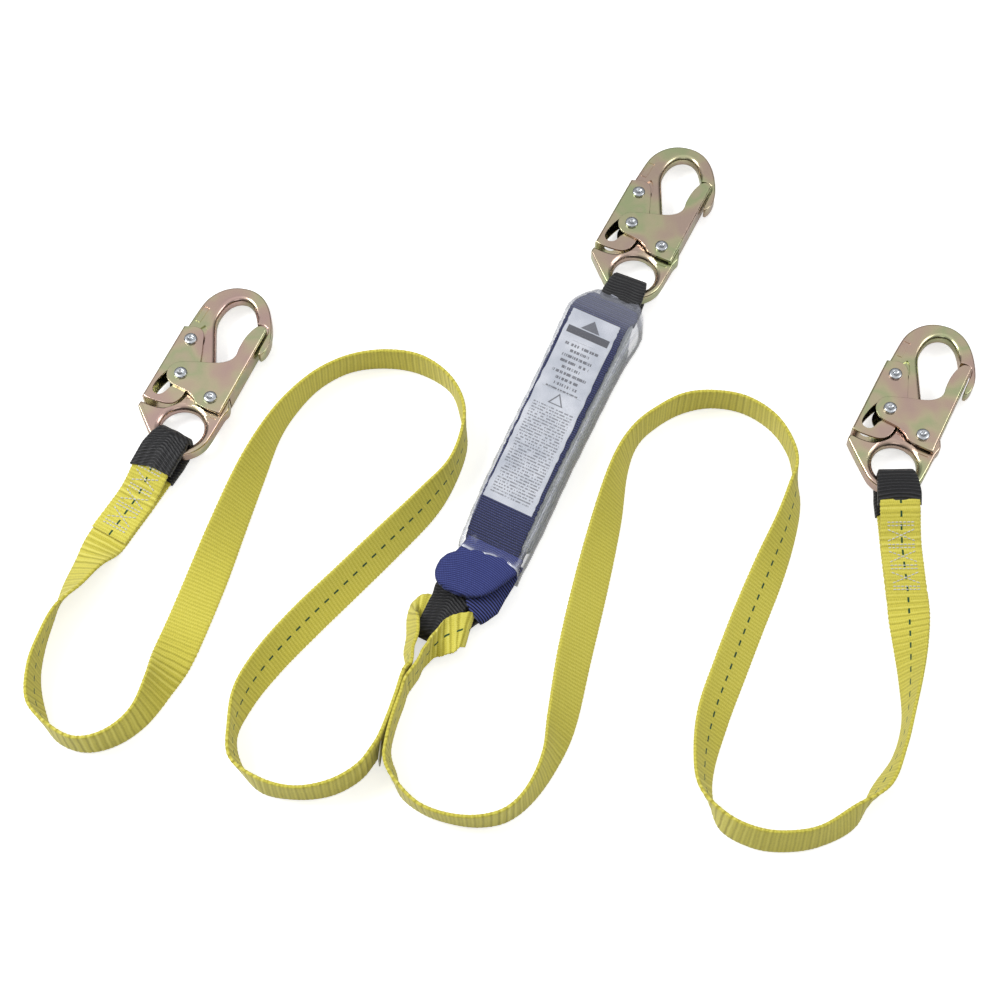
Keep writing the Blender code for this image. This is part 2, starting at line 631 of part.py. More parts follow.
def add_legs():
    left = left_hook_end() + leg_stations(LEFT_RUN) + choke_in()
    right = choke_out() + leg_stations(RIGHT_RUN) + right_hook_end()[::-1]
    place("left_leg_webbing", strap_mesh("left_leg", sampled(left, 1), LEG_WIDTH, WEB_THICK, yellow_webbing()))
    place("right_leg_webbing", strap_mesh("right_leg", sampled(right, 1), LEG_WIDTH, WEB_THICK, yellow_webbing()))


def sleeve_route(which, tail_on_top, start_lift, end_lift):
    across = HOOKS[which][2] + 90.0
    first = flat_layer(which, start_lift, across)
    return first + eye_loop(which, tail_on_top) + flat_layer(which, end_lift, across)


def add_sleeves():
    left = sleeve_route("left", True, [(33.0, 13.6)], [(33.0, RING_LOW - 0.3)])
    right = sleeve_route("right", False, [(33.0, RING_LOW - 0.2)], [(33.0, 13.6)])
    for name, route in (("left", left), ("right", right)):
        mesh = sleeve_mesh(f"{name}_sleeve", sampled(route, 1), LEG_WIDTH, WEB_THICK)
        place(f"{name}_wear_sleeve", mesh)


def pack_station(x, y, z, width=1.0):
    px, py = on_plan((PACK_CENTRE, PACK_HEADING), x, y)
    return station(px, py, z, 0.0, width, PACK_HEADING - 90.0)


def fold_over(x, y, radius, high, low):
    """Half turn of a strap at its far end: (x, y, z) from the upper layer round to the lower one."""
    middle = (high + low) / 2
    spots = []
    for k in range(7):
        turn = math.radians(90.0 - 30.0 * k)
        spots.append((x, y - radius * math.cos(turn), middle + (high - low) / 2 * math.sin(turn)))
    return spots


def add_pack_webbing():
    """Navy face strap with the top hook's loop, the back strap, and the two folded ends below."""
    wide = FACE_WIDTH / LEG_WIDTH
    across = HOOKS["top"][2] + 90.0
    face = [(-3, -95), (-5, -80), (-9, -30), (-14, 30), (-16, 74)]
    upper = [pack_station(x, y, FACE_Z, wide) for x, y in face] + [pack_station(-15, 87, FACE_Z - 1.3, 1.2)]
    loop = flat_layer("top", [(30.0, RING_HIGH + 0.5)], across)
    loop += eye_loop("top", True)
    loop += flat_layer("top", [(33.0, RING_LOW)], across)
    lower = [pack_station(-10.5, 78, BACK_Z, 1.25)]
    lower += [pack_station(x, y, BACK_Z, 1.3) for x, y in ((-6, 30), (-1, -30), (5, -80), (6, -92))]
    route = upper + loop + lower
    stations = sampled(route, 2)
    place("load_webbing", strap_mesh("load_webbing", stations, LEG_WIDTH, WEB_THICK, navy_webbing()))
    first = 2 * len(upper)
    place("top_wear_sleeve", sleeve_mesh("top_sleeve", stations[first : first + 21], LEG_WIDTH, WEB_THICK))
    fold = [(-3, -100, 21.9, 0.86), (-3, -113, 21.9), (-3, -129, 21.9)] + fold_over(-3, -133, 1.4, 21.9, 19.1)
    fold += [(-3, -129, 19.1), (-3, -112, 19.1)]
    add_fold("upper_webbing_fold", fold, 40.0)
    fold = [(5, -99, 16.9), (6, -118, 16.9), (6, -130, 16.9)] + fold_over(6, -134, 1.7, 16.9, 13.5)
    fold += [(6, -130, 13.5), (6, -112, 13.5)]
    add_fold("lower_webbing_fold", fold, 33.0)


def add_fold(name, spots, width):
    route = [pack_station(*spot) for spot in spots]
    place(name, strap_mesh(name, sampled(route, 2), width, WEB_THICK, navy_webbing()))


def add_choke_loop():
    """Sleeved loop under the pack that the legs are choked through."""
    upper = [(-1, -96, 9.4), (-3.5, -106, 9.6), (-6, -118, 10.0), (-8, -130, 10.3)]
    route = [pack_station(*spot, 1.0) for spot in upper]
    route += [pack_station(x, y, 10.3, 0.84) for x, y in ((-8.6, -140), (-8.2, -149), (-7.6, -155.5))]
    route += [pack_station(*spot, 0.84) for spot in fold_over(-7.4, -159.4, 3.85, 10.3, 2.6)]
    route += [pack_station(x, y, 2.6, 0.86) for x, y in ((-6.6, -155.5), (-4.4, -149), (-1.2, -141))]
    lower = [(2.4, -132), (4, -118), (5, -106), (5, -96)]
    route += [pack_station(x, y, 2.6, 1.0) for x, y in lower]
    stations = sampled(route, 2)
    place("choke_loop_webbing", strap_mesh("choke", stations, LEG_WIDTH, WEB_THICK, navy_webbing()))
    place("choke_loop_sleeve", sleeve_mesh("choke_sleeve", stations[3:-3], LEG_WIDTH, WEB_THICK))


def add_tear_webbing():
    """Absorber core: one strap folded back and forth along the pack."""
    route = []
    for layer in range(TEAR_LAYERS):
        z = TEAR_FLOOR + layer * TEAR_PITCH
        low, high = (-2.0, -84.0 - layer), (-10.5, 74.0 + 0.8 * layer)
        ends = (low, high) if layer % 2 == 0 else (high, low)
        for k in range(4):
            t = k / 3
            x = ends[0][0] * (1 - t) + ends[1][0] * t + 5.5
            y = ends[0][1] * (1 - t) + ends[1][1] * t
            route.append(pack_station(x, y, z))
        if layer < TEAR_LAYERS - 1:
            out = 3.0 if layer % 2 == 0 else -3.0
            route.append(pack_station(ends[1][0] + 5.5, ends[1][1] + out, z + TEAR_PITCH / 2))
    place("tear_webbing", strap_mesh("tear", sampled(route, 1), TEAR_WIDTH, TEAR_THICK, tear_webbing()))


def cover_ring(x, y, low, high, half, grow):
    """A flat-bottomed round-cornered section of the cover, grown outwards by grow."""
    corner = 3.0
    found = []
    corners = ((1, low, -90), (1, high, 0), (-1, high, 90), (-1, low, 180))
    for side, level, start in corners:
        cx = x + side * (half - corner)
        cz = level + corner if level == low else level - corner
        for k in range(3):
            turn = math.radians(start + 45.0 * k)
            px = cx + (corner + grow) * math.cos(turn)
            pz = cz + (corner + grow) * math.sin(turn)
            gx, gy = on_plan((PACK_CENTRE, PACK_HEADING), px, y)
            found.append((gx, gy, pz))
    return found


def add_cover():
    """Clear vinyl sleeve over the pack, open at both ends."""
    spots = [(1.5, -105, 23.5), (0.0, -80, 24.5), (-3.5, -30, 25.0), (-7.5, 20, 25.3)]
    spots += [(-11.5, 70, 25.5), (-12.5, 85, 24.5), (-12.5, 99, 21.0)]
    verts = []
    for grow in (COVER_WALL, 0.0):
        for x, y, half in spots:
            high = 24.4 if y < 80 else 24.4 - (y - 80) * 0.12
            verts += cover_ring(x, y, COVER_WALL, high, half, grow)
    size, rings = 12, len(spots)
    faces = []
    for shell in (0, 1):
        for r in range(rings - 1):
            for k in range(size):
                j = (k + 1) % size
                low = (shell * rings + r) * size
                face = [low + k, low + j, low + size + j, low + size + k]
                faces.append(face[::-1] if shell else face)
    for r in (0, rings - 1):
        for k in range(size):
            j = (k + 1) % size
            outer, inner = r * size, (rings + r) * size
            faces.append([outer + k, outer + j, inner + j, inner + k])
    place("clear_cover", stored(mesh_from("cover", verts, faces), clear_vinyl()))


def add_labels():
    route = [pack_station(x, y, FACE_Z + WEB_THICK / 2 + 0.5) for x, y in ((-5.5, -68), (-9, -30), (-14, 30), (-17, 72))]
    place("instruction_label", strap_mesh("label", sampled(route, 2), 30.0, 0.4, label_card()))
    tag = prism([(-0.3, -6), (0.3, -6), (0.3, 6), (-0.3, 6)], 6.0, 20.0)
    place("inspection_tag", stored(tag, label_card()), -69.2, -173.0, 0.0, -6.0)


clear_scene()
add_hooks()
add_legs()
add_sleeves()
add_pack_webbing()
add_choke_loop()
add_tear_webbing()
add_cover()
add_labels()
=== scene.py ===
"""Looks of a twin-leg shock absorbing lanyard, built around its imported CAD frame."""

import json
import math
from functools import partialmethod

import bmesh
import bpy
from mathutils import Matrix, Vector

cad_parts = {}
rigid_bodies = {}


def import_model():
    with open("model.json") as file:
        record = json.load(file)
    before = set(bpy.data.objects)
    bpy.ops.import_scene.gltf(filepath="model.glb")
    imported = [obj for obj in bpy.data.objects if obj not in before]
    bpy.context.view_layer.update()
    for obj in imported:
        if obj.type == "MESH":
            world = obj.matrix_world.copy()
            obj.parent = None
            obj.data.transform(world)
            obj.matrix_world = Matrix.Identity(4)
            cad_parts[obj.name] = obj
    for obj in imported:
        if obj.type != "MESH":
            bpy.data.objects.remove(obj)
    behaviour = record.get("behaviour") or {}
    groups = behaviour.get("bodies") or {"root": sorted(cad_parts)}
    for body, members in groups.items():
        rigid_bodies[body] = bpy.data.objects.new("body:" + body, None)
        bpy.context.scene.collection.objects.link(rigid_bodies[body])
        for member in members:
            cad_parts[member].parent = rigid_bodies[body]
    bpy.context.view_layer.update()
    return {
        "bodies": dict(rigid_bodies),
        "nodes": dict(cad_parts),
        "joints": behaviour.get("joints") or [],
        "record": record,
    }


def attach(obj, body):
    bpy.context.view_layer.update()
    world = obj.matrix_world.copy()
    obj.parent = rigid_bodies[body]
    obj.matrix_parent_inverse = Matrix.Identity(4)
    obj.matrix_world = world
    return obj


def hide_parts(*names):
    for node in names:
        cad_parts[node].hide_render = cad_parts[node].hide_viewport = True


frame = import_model()

# Lengths below are in millimetres, on the floor plan that the part is drawn in; meshes are moved by ORIGIN
# and scaled to metres as they are stored.
MM = 0.001
CAMERA_ELEVATION = 62.0
CAMERA_DISTANCE = 1250.0
CAMERA_LENS = 72.0
CAMERA_SENSOR = 36.0
ORIGIN_X = 37.46
ORIGIN_Y = 78.73

# Snap hook, in its own frame: gate pivot at 0, long axis +Y, mid-plane z = 0.
BODY_HALF = 4.5
LEVER_INNER = 4.8
LEVER_OUTER = 6.2
GATE_INNER = 6.5
GATE_OUTER = 8.0
HEAD_SEAT = 8.25
HEAD_TOP = 9.9
LEVER_SEAT = 6.45
LEVER_HEAD_TOP = 8.1
HEAD_RADIUS = 4.2
SHANK_RADIUS = 2.2
PIN_RADIUS = 2.8
HOLE_CLEARANCE = 0.3
EYE = (-7.0, -25.0)
EYE_RADIUS = 14.0
RING_RADIUS = 20.0
LEVER_PIVOT = (-34.0, 33.0)
LATCH_PIN = (-26.0, 7.3)
THIN_BOSS_HALF = 1.8
# How far the cutters reach above and below a body, and a gate or a lever.
BODY_REACH = 9
PLATE_REACH = 12
HOOK_HEIGHT = HEAD_TOP
# Each hook: gate pivot on the floor plan, heading of its long axis, heading of its strap.
HOOKS = {
    "left": ((-183.1, 63.8), 63.7, -120.0),
    "top": ((106.5, 179.6), 60.6, -113.5),
    "right": ((264.6, 36.4), 59.6, -89.0),
}

# Webbing and wear sleeves.
LEG_WIDTH = 25.0
WEB_THICK = 2.0
SLEEVE_GAP = 0.3
SLEEVE_WALL = 0.85
STITCH_GAP = 0.4
FLOOR_GAP = 0.3
LAYER_LIFT = BODY_HALF + 0.35 + WEB_THICK / 2 + SLEEVE_GAP + SLEEVE_WALL

# Absorber pack: its plan frame (origin, heading of its +Y, towards the top hook) and its heights.
PACK = ((41.2, 43.4), 62.4)
TEAR_LAYERS = 6
TEAR_THICK = 2.4
TEAR_PITCH = 2.85
TEAR_FLOOR = 4.6
FACE_Z = 22.0
BACK_Z = 2.0
COVER_WALL = 0.6
LABEL_WIDTH = 33.6
LABEL_THICK = 0.3
LABEL_LIFT = 0.35

# How finely straps are followed, and how tight a turn of the face counts as a full bend.
STRAP_STEP = 0.9
SLEEVE_STEP = 0.5
BEND_RADIUS = 34.0
# How far before its end the left leg shows its unmarked side, and the right leg its sewn tail.
TURNED_OVER = 62.0
RIGHT_SEWN = 173.0
# Where the strands are drawn together below the choke: its y span, and how far they move.
NECK_LENGTH = 150.0
NECK_PUSH = 5.6
NECK_TOP, NECK_RISE = -105.0, 17.0
NECK_FOOT, NECK_FALL = -176.0, 50.0


def in_scene(name, data):
    """A new object of the scene."""
    obj = bpy.data.objects.new(name, data)
    bpy.context.scene.collection.objects.link(obj)
    return obj


def add_camera():
    data = bpy.data.cameras.new("camera")
    data.lens = CAMERA_LENS
    data.sensor_width = CAMERA_SENSOR
    data.clip_start = 0.01
    data.clip_end = 20.0
    camera = in_scene("camera", data)
    tilt = math.radians(CAMERA_ELEVATION)
    back = Vector((0.0, -math.cos(tilt), math.sin(tilt)))
    target = Vector((-ORIGIN_X, -ORIGIN_Y, 0.0)) * MM
    camera.location = target + back * CAMERA_DISTANCE * MM
    camera.rotation_euler = (-back).to_track_quat("-Z", "Y").to_euler()
    bpy.context.scene.camera = camera


def on_plan(frame, x, y):
    """A point of a plan frame (origin, heading of its +Y) on the floor plan."""
    origin, heading = frame
    turn = math.radians(heading - 90.0)
    return (
        origin[0] + x * math.cos(turn) - y * math.sin(turn),
        origin[1] + x * math.sin(turn) + y * math.cos(turn),
    )


def station(x, y, z, lean=0.0, width=1.0, across=None):
    """One route point: its place, the strap's roll (0 flat, 90 on edge) and share of its full width.

    across fixes the direction of the width, as a heading or a vector.
    """
    return {"at": Vector((x, y, z)), "lean": lean, "width": width, "across": across}


def width_vectors(route):
    """The direction of the strap's width at each route point."""
    found = []
    for i, spot in enumerate(route):
        wide = spot["across"]
        if wide is None:
            ahead = route[min(i + 1, len(route) - 1)]["at"] - route[max(i - 1, 0)]["at"]
            right = Vector((ahead.y, -ahead.x, 0.0)).normalized()
            lean = math.radians(spot["lean"])
            wide = right * math.cos(lean) + Vector((0.0, 0.0, math.sin(lean)))
        elif not isinstance(wide, Vector):
            turn = math.radians(wide)
            wide = Vector((math.cos(turn), math.sin(turn), 0.0))
        found.append(wide)
    return found


def clamped(value):
    """The value held between 0 and 1."""
    return min(1.0, max(0.0, value))


def eased(t):
    """0 to 1 with a soft start and a soft end."""
    return t * t * (3 - 2 * t)


def spline(values, i, t):
    """Catmull-Rom between values i and i + 1."""
    a, b = values[max(i - 1, 0)], values[i]
    c, d = values[i + 1], values[min(i + 2, len(values) - 1)]
    linear, square, cube = c - a, a * 2 - b * 5 + c * 4 - d, (b - c) * 3 + d - a
    return b + linear * 0.5 * t + square * 0.5 * t**2 + cube * 0.5 * t**3


def strap_station(which, distance, z, share=1.0):
    """A station of a hook's strap, that far from the middle of the hook's eye."""
    pivot, heading, strap = HOOKS[which]
    eye = on_plan((pivot, heading), *EYE)
    away = math.radians(strap)
    x, y = eye[0] + distance * math.cos(away), eye[1] + distance * math.sin(away)
    return station(x, y, z, 0.0, share, strap + 90.0)


def flat_layer(which, spots):
    """Straight stations leaving a hook along its strap: (distance, height) pairs."""
    return [strap_station(which, distance, z) for distance, z in spots]


def eye_loop(which, tail_on_top):
    """Route round the ring of a hook: in on one layer, through the eye, out on the other."""
    side = 1.0 if tail_on_top else -1.0
    bend = [(22.0, 1.0, 1.0), (14.0, 1.0, 0.95), (9.2, 0.93, 0.86), (6.5, 0.58, 0.80), (5.4, 0.0, 0.78)]
    bend += [(s, -lift, share) for s, lift, share in reversed(bend[:-1])]
    return [strap_station(which, s, HOOK_HEIGHT + side * lift * LAYER_LIFT, share) for s, lift, share in bend]


def leg_stations(points):
    """Route points (x, y, lean) of a free leg, its lower edge just above the floor."""
    found = []
    for x, y, lean in points:
        rise = math.radians(lean)
        z = FLOOR_GAP + LEG_WIDTH / 2 * abs(math.sin(rise)) + WEB_THICK / 2 * abs(math.cos(rise))
        found.append(station(x, y, z, lean))
    return found


LOW_LAYER = FLOOR_GAP + WEB_THICK / 2
HIGH_LAYER = LOW_LAYER + WEB_THICK + STITCH_GAP
RING_LOW = HOOK_HEIGHT - LAYER_LIFT
RING_HIGH = HOOK_HEIGHT + LAYER_LIFT


def left_hook_end():
    """Tail on top, round the ring, and back underneath as the leg."""
    tail = [(82.0, HIGH_LAYER), (66.0, HIGH_LAYER), (52.0, HIGH_LAYER + 0.6), (42.0, 8.2), (33.0, 13.6)]
    leg = [(33.0, RING_LOW - 0.3), (44.0, 2.0), (56.0, LOW_LAYER), (72.0, LOW_LAYER), (86.0, LOW_LAYER)]
    return flat_layer("left", tail) + eye_loop("left", True) + flat_layer("left", leg)


def right_hook_end():
    """Tail underneath, round the ring, and back on top as the leg."""
    tail = [(88.0, LOW_LAYER), (66.0, LOW_LAYER), (52.0, LOW_LAYER), (42.0, 2.2), (33.0, RING_LOW - 0.2)]
    leg = [(33.0, 13.6), (42.0, 8.4), (52.0, HIGH_LAYER + 0.7), (66.0, HIGH_LAYER), (84.0, HIGH_LAYER)]
    return flat_layer("right", tail) + eye_loop("right", False) + flat_layer("right", leg)


LEFT_RUN = [
    (-251.2, -47.6, 147), (-258.9, -63.7, 131), (-267.4, -82.4, 105), (-273, -101.8, 95),
    (-275.6, -121.9, 85), (-272.3, -142.9, 76), (-261.3, -159, 89), (-244.8, -167.2, 88),
    (-227.2, -163.5, 92), (-211.9, -150.6, 101), (-201.4, -129.2, 122), (-192.2, -99.9, 163),
    (-180.1, -62.6, 161), (-167.5, -23.2, 141), (-155.3, 13.7, 125), (-143.5, 43.2, 105),
    (-131.2, 63.7, 95), (-115.3, 81.1, 87), (-95.3, 92.4, 83), (-72.1, 95.6, 85),
    (-50.3, 91.2, 87), (-31.9, 77.3, 85), (-23.6, 56.7, 92), (-22.8, 36.8, 85),
    (-30.1, 13.6, 80), (-45.3, -8.5, 61), (-67.9, -34, 53), (-92.7, -61.4, 51),
    (-117.5, -88.7, 50), (-137, -113.3, 57), (-150.3, -135.9, 68), (-156, -158.1, 86),
    (-152.9, -177.9, 79), (-138.3, -191.8, 89), (-117.9, -196.8, 86), (-97.5, -193.8, 89),
    (-81.1, -183.9, 90), (-72, -170, 90), (-67.4, -154, 90), (-64.4, -139, 90),
    (-61.8, -125, 90),
]
RIGHT_RUN = [
    (-59.9, -129, 90), (-62, -139, 90), (-64.9, -154, 90), (-66, -168, 88), (-63.5, -181.5, 78),
    (-57.6, -194.9, 86), (-44.9, -206.2, 82), (-28.4, -212.3, 82), (-11.2, -213.8, 85),
    (4.6, -209.4, 89), (17.8, -196.8, 96), (28.9, -176.3, 109), (36.3, -150.3, 131),
    (44.6, -108.3, 142), (55.2, -62.6, 144), (66.3, -17.2, 132), (75.3, 18.4, 110),
    (85.5, 39.6, 96), (100, 53.3, 91), (116.8, 62.8, 89), (135.9, 65.6, 84), (155.6, 61.3, 84),
    (172, 48.9, 85), (181.4, 32.2, 86), (184.3, 14.9, 87), (182.1, -2.6, 69),
    (175.5, -24.5, 56), (163.2, -54.2, 40), (148.8, -87.5, 36), (136.5, -117.8, 37),
    (125.1, -147.4, 41), (118.2, -175.7, 58), (118.1, -196.2, 70), (127.2, -213.9, 93),
    (144.1, -223.4, 97), (162, -225.8, 98), (181.7, -222.6, 99), (201.8, -211.2, 102),
    (219.2, -193, 70), (231.6, -172, 82), (239, -149.5, 83), (243, -124.8, 66),
    (245.4, -99.9, 43),
]
# The choke: both edges (x, y, z) of the strap where it passes through the loop under the pack.
# Left strand, floor edge then top edge: it rises on edge, leans inwards and dives under the loop.
CHOKE_LEFT = [
    ((-60.0, -118.0, 0.5), (-57.0, -119.5, 24.6)), ((-57.6, -106.0, 0.5), (-51.6, -110.5, 23.6)),
    ((-55.8, -94.0, 0.6), (-48.6, -101.0, 22.8)), ((-55.8, -83.0, 0.8), (-48.4, -92.0, 22.4)),
    ((-54.0, -74.5, 1.2), (-49.6, -85.8, 19.4)), ((-51.0, -69.6, 2.4), (-50.4, -84.2, 13.2)),
    ((-47.4, -67.4, 4.6), (-50.0, -85.6, 7.0)),
]
# Inside the loop, lower and upper edge in the pack's plan frame.
CHOKE_UNDER = [((-18.0, -156.4, 6.35), (-19.5, -136.8, 6.35)), ((-11.0, -156.6, 6.35), (-12.0, -137.2, 6.35))]
CHOKE_MIDDLE = ((0.5, -156.8, 6.35), (0.0, -137.6, 6.35))
CHOKE_TURN = [
    ((2.8, -157.0, 6.35), (2.0, -137.6, 6.35)), ((7.6, -158.2, 6.4), (5.4, -138.0, 6.5)),
    ((11.6, -159.4, 8.0), (7.4, -138.4, 8.4)), ((12.9, -160.8, 11.0), (8.0, -138.9, 11.4)),
    ((11.6, -163.2, 13.6), (6.4, -140.0, 14.6)),
]
# Right strand on top: floor edge then top edge, turning on edge as it leaves the loop.
CHOKE_OUT = [
    ((-27.2, -109.6, 13.2), (-27.2, -86.0, 16.0)), ((-33.0, -110.4, 10.8), (-32.6, -89.4, 17.2)),
    ((-39.4, -109.6, 6.2), (-37.9, -98.3, 20.2)), ((-45.4, -112.9, 3.0), (-43.3, -106.4, 23.2)),
    ((-52.0, -117.6, 1.0), (-50.4, -114.6, 24.7)),
]


def edge_station(low, high):
    """Route point given by the two edges of the strap."""
    low, high = Vector(low), Vector(high)
    across = high - low
    spot = (low + high) / 2
    return station(spot.x, spot.y, spot.z, 0.0, across.length / LEG_WIDTH, across.normalized())


def in_pack(painted_highlights):
    """The same pair of edges, from the pack's plan frame to the floor plan."""
    return [(*on_plan(PACK, x, y), z) for x, y, z in painted_highlights]


def choke_in():
    """End of the left leg: the top edge leads, so its width turns over as it goes under the loop."""
    route = [edge_station(low, high) for low, high in CHOKE_LEFT]
    return route + [edge_station(*reversed(in_pack(painted_highlights))) for painted_highlights in CHOKE_UNDER + [CHOKE_MIDDLE]]


def choke_out():
    route = [edge_station(*in_pack(painted_highlights)) for painted_highlights in CHOKE_TURN]
    return route + [edge_station(low, high) for low, high in CHOKE_OUT]


def pack_station(x, y, z, width=1.0):
    px, py = on_plan(PACK, x, y)
    return station(px, py, z, 0.0, width, PACK[1] - 90.0)


def fold_over(x, y, radius, high, low):
    """Half turn of a strap at its far end: (x, y, z) from the upper layer round to the lower one."""
    middle = (high + low) / 2
    spots = []
    for k in range(7):
        turn = math.radians(90.0 - 30.0 * k)
        spots.append((x, y - radius * math.cos(turn), middle + (high - low) / 2 * math.sin(turn)))
    return spots


def fill_ramp(ramp, stops):
    """Sets the stops of a colour ramp: (place, colour or grey level)."""
    while len(ramp.elements) < len(stops):
        ramp.elements.new(0.5)
    for element, (at, colour) in zip(ramp.elements, stops):
        element.position = at
        element.color = (*colour, 1.0) if isinstance(colour, tuple) else (colour,) * 3 + (1.0,)


class Nodes:
    """A short way to write a material's nodes: each call returns the socket that it makes."""

    def __init__(self, name):
        self.material = bpy.data.materials.new(name)
        self.material.use_nodes = True
        self.tree = self.material.node_tree
        self.shader = self.tree.nodes["Principled BSDF"]

    def put(self, socket, value):
        if isinstance(value, bpy.types.NodeSocket):
            self.tree.links.new(value, socket)
        elif isinstance(value, tuple) and len(value) == 3 and len(socket.default_value) == 4:
            socket.default_value = (*value, 1.0)
        else:
            socket.default_value = value

    def node(self, kind, out=0, **inputs):
        made = self.tree.nodes.new(kind)
        settings = {k: v for k, v in inputs.items() if not k.startswith("i")}
        for key, value in settings.items():
            setattr(made, key, value)
        for key, value in inputs.items():
            if key.startswith("i"):
                self.put(made.inputs[int(key[1:])], value)
        return made.outputs[out]

    def math(self, operation, a, b=0.0, c=0.0):
        return self.node("ShaderNodeMath", operation=operation, i0=a, i1=b, i2=c)

    add = partialmethod(math, "ADD")
    minus = partialmethod(math, "SUBTRACT")
    times = partialmethod(math, "MULTIPLY")
    over = partialmethod(math, "DIVIDE")
    scaled = partialmethod(math, "MULTIPLY_ADD")
    size = partialmethod(math, "ABSOLUTE")
    most = partialmethod(math, "MAXIMUM")
    below = partialmethod(math, "LESS_THAN")
    above = partialmethod(math, "GREATER_THAN")

    def within(self, value, half, middle=0.0):
        """1 where value is closer to middle than half, and 0 elsewhere."""
        return self.below(self.size(self.minus(value, middle)), half)

    def sine(self, value, period, phase=0.0):
        """0 to 1 wave of that period in millimetres."""
        turned = self.scaled(value, math.tau / period, phase)
        return self.scaled(self.math("SINE", turned), 0.5, 0.5)

    def attribute(self, name):
        made = self.tree.nodes.new("ShaderNodeAttribute")
        made.attribute_name = name
        return made.outputs["Fac"]

    def place(self):
        return self.node("ShaderNodeTexCoord", 3)

    def noise(self, scale, detail=2.0, vector=None, rough=0.5):
        made = self.tree.nodes.new("ShaderNodeTexNoise")
        self.put(made.inputs["Vector"], vector or self.place())
        made.inputs["Scale"].default_value = scale
        made.inputs["Detail"].default_value = detail
        made.inputs["Roughness"].default_value = rough
        return made.outputs["Fac"]

    def ramp(self, value, *stops):
        made = self.tree.nodes.new("ShaderNodeValToRGB")
        self.put(made.inputs[0], value)
        fill_ramp(made.color_ramp, stops)
        return made.outputs[0]

    def mix(self, share, a, b, blend="MIX"):
        made = self.tree.nodes.new("ShaderNodeMix")
        made.data_type = "RGBA"
        made.blend_type = blend
        self.put(made.inputs[0], share)
        self.put(made.inputs[6], a)
        self.put(made.inputs[7], b)
        return made.outputs[2]

    def bump(self, height, distance, strength=1.0, before=None):
        made = self.tree.nodes.new("ShaderNodeBump")
        made.inputs["Strength"].default_value = strength
        made.inputs["Distance"].default_value = distance * MM
        self.put(made.inputs["Height"], height)
        if before:
            self.put(made.inputs["Normal"], before)
        return made.outputs[0]

    def finish(self, colour, roughness, normal=None, **sockets):
        self.put(self.shader.inputs["Base Color"], colour)
        self.put(self.shader.inputs["Roughness"], roughness)
        if normal:
            self.put(self.shader.inputs["Normal"], normal)
        for key, value in sockets.items():
            self.put(self.shader.inputs[key.replace("_", " ")], value)
        return self.material


def webbing_look(name, tones, row, tracer=None, crisp=0.55, sheen=0.2, cross=0.4):
    """Woven strap: weft rows across it, warp floats along it, painted shade in its gathers, and for a leg a
    dashed tracer on one side.
    """
    n = Nodes(name)
    deep, base, light = tones
    along, across = n.attribute("along"), n.attribute("across")
    drift = n.noise(90.0, 2.0)
    bent = n.scaled(drift, row * 0.5, along)
    rows = n.sine(bent, row)
    half = n.math("ROUND", n.over(bent, row))
    shift = n.times(n.math("MODULO", half, 2.0), math.pi)
    floats = n.sine(across, 1.3, shift)
    weave = n.add(n.times(rows, 1.0 - cross), n.times(floats, cross))
    gather = n.attribute("gather")
    folds = n.times(n.sine(bent, row * 1.9, 1.0), gather)
    height = n.add(n.times(weave, 0.55), n.times(folds, 0.8))
    fuzz = n.noise(1400.0, 3.0)
    wear = n.noise(28.0, 4.0)
    centred = n.minus(weave, 0.5)
    shade = n.scaled(centred, crisp, n.scaled(fuzz, 0.45, 0.275))
    # Painted shade: darker in the gather ribs where a strap bends, and at a pad's rims and folded end.
    shade = n.minus(shade, n.times(n.minus(0.6, folds), n.times(gather, 0.34)))
    colour = n.ramp(shade, (0.12, deep), (0.5, base), (0.88, light))
    colour = n.mix(n.times(wear, 0.14), colour, deep)
    if tracer:
        middle = n.within(across, 0.62, 0.4)
        dash = n.below(n.math("FRACT", n.over(along, 8.2)), 0.46)
        faced = n.above(n.attribute("side"), 0.5)
        colour = n.mix(n.times(n.times(middle, dash), faced), colour, tracer)
    normal = n.bump(height, 0.45 * crisp, 0.9)
    normal = n.bump(fuzz, 0.05, 0.5, normal)
    rough = n.scaled(fuzz, 0.2, 0.62)
    return n.finish(colour, rough, normal, Sheen_Weight=sheen, Sheen_Roughness=0.5, Specular_IOR_Level=0.3)


def sleeve_look():
    n = Nodes("black_sleeve_look")
    along = n.attribute("along")
    ribs = n.sine(n.scaled(n.noise(120.0), 0.5, along), 2.1)
    thread = n.sine(n.attribute("across"), 0.9)
    fuzz = n.noise(1600.0, 2.0)
    shade = n.add(n.times(ribs, 0.7), n.times(fuzz, 0.4))
    dark, black, grey = (0.003, 0.003, 0.004), (0.009, 0.009, 0.011), (0.034, 0.034, 0.038)
    colour = n.ramp(shade, (0.2, dark), (0.7, black), (1.0, grey))
    height = n.add(ribs, n.times(thread, 0.15))
    normal = n.bump(height, 0.35, 1.0)
    rough = n.scaled(ribs, -0.12, 0.6)
    return n.finish(colour, rough, normal, Sheen_Weight=0.12, Specular_IOR_Level=0.45)


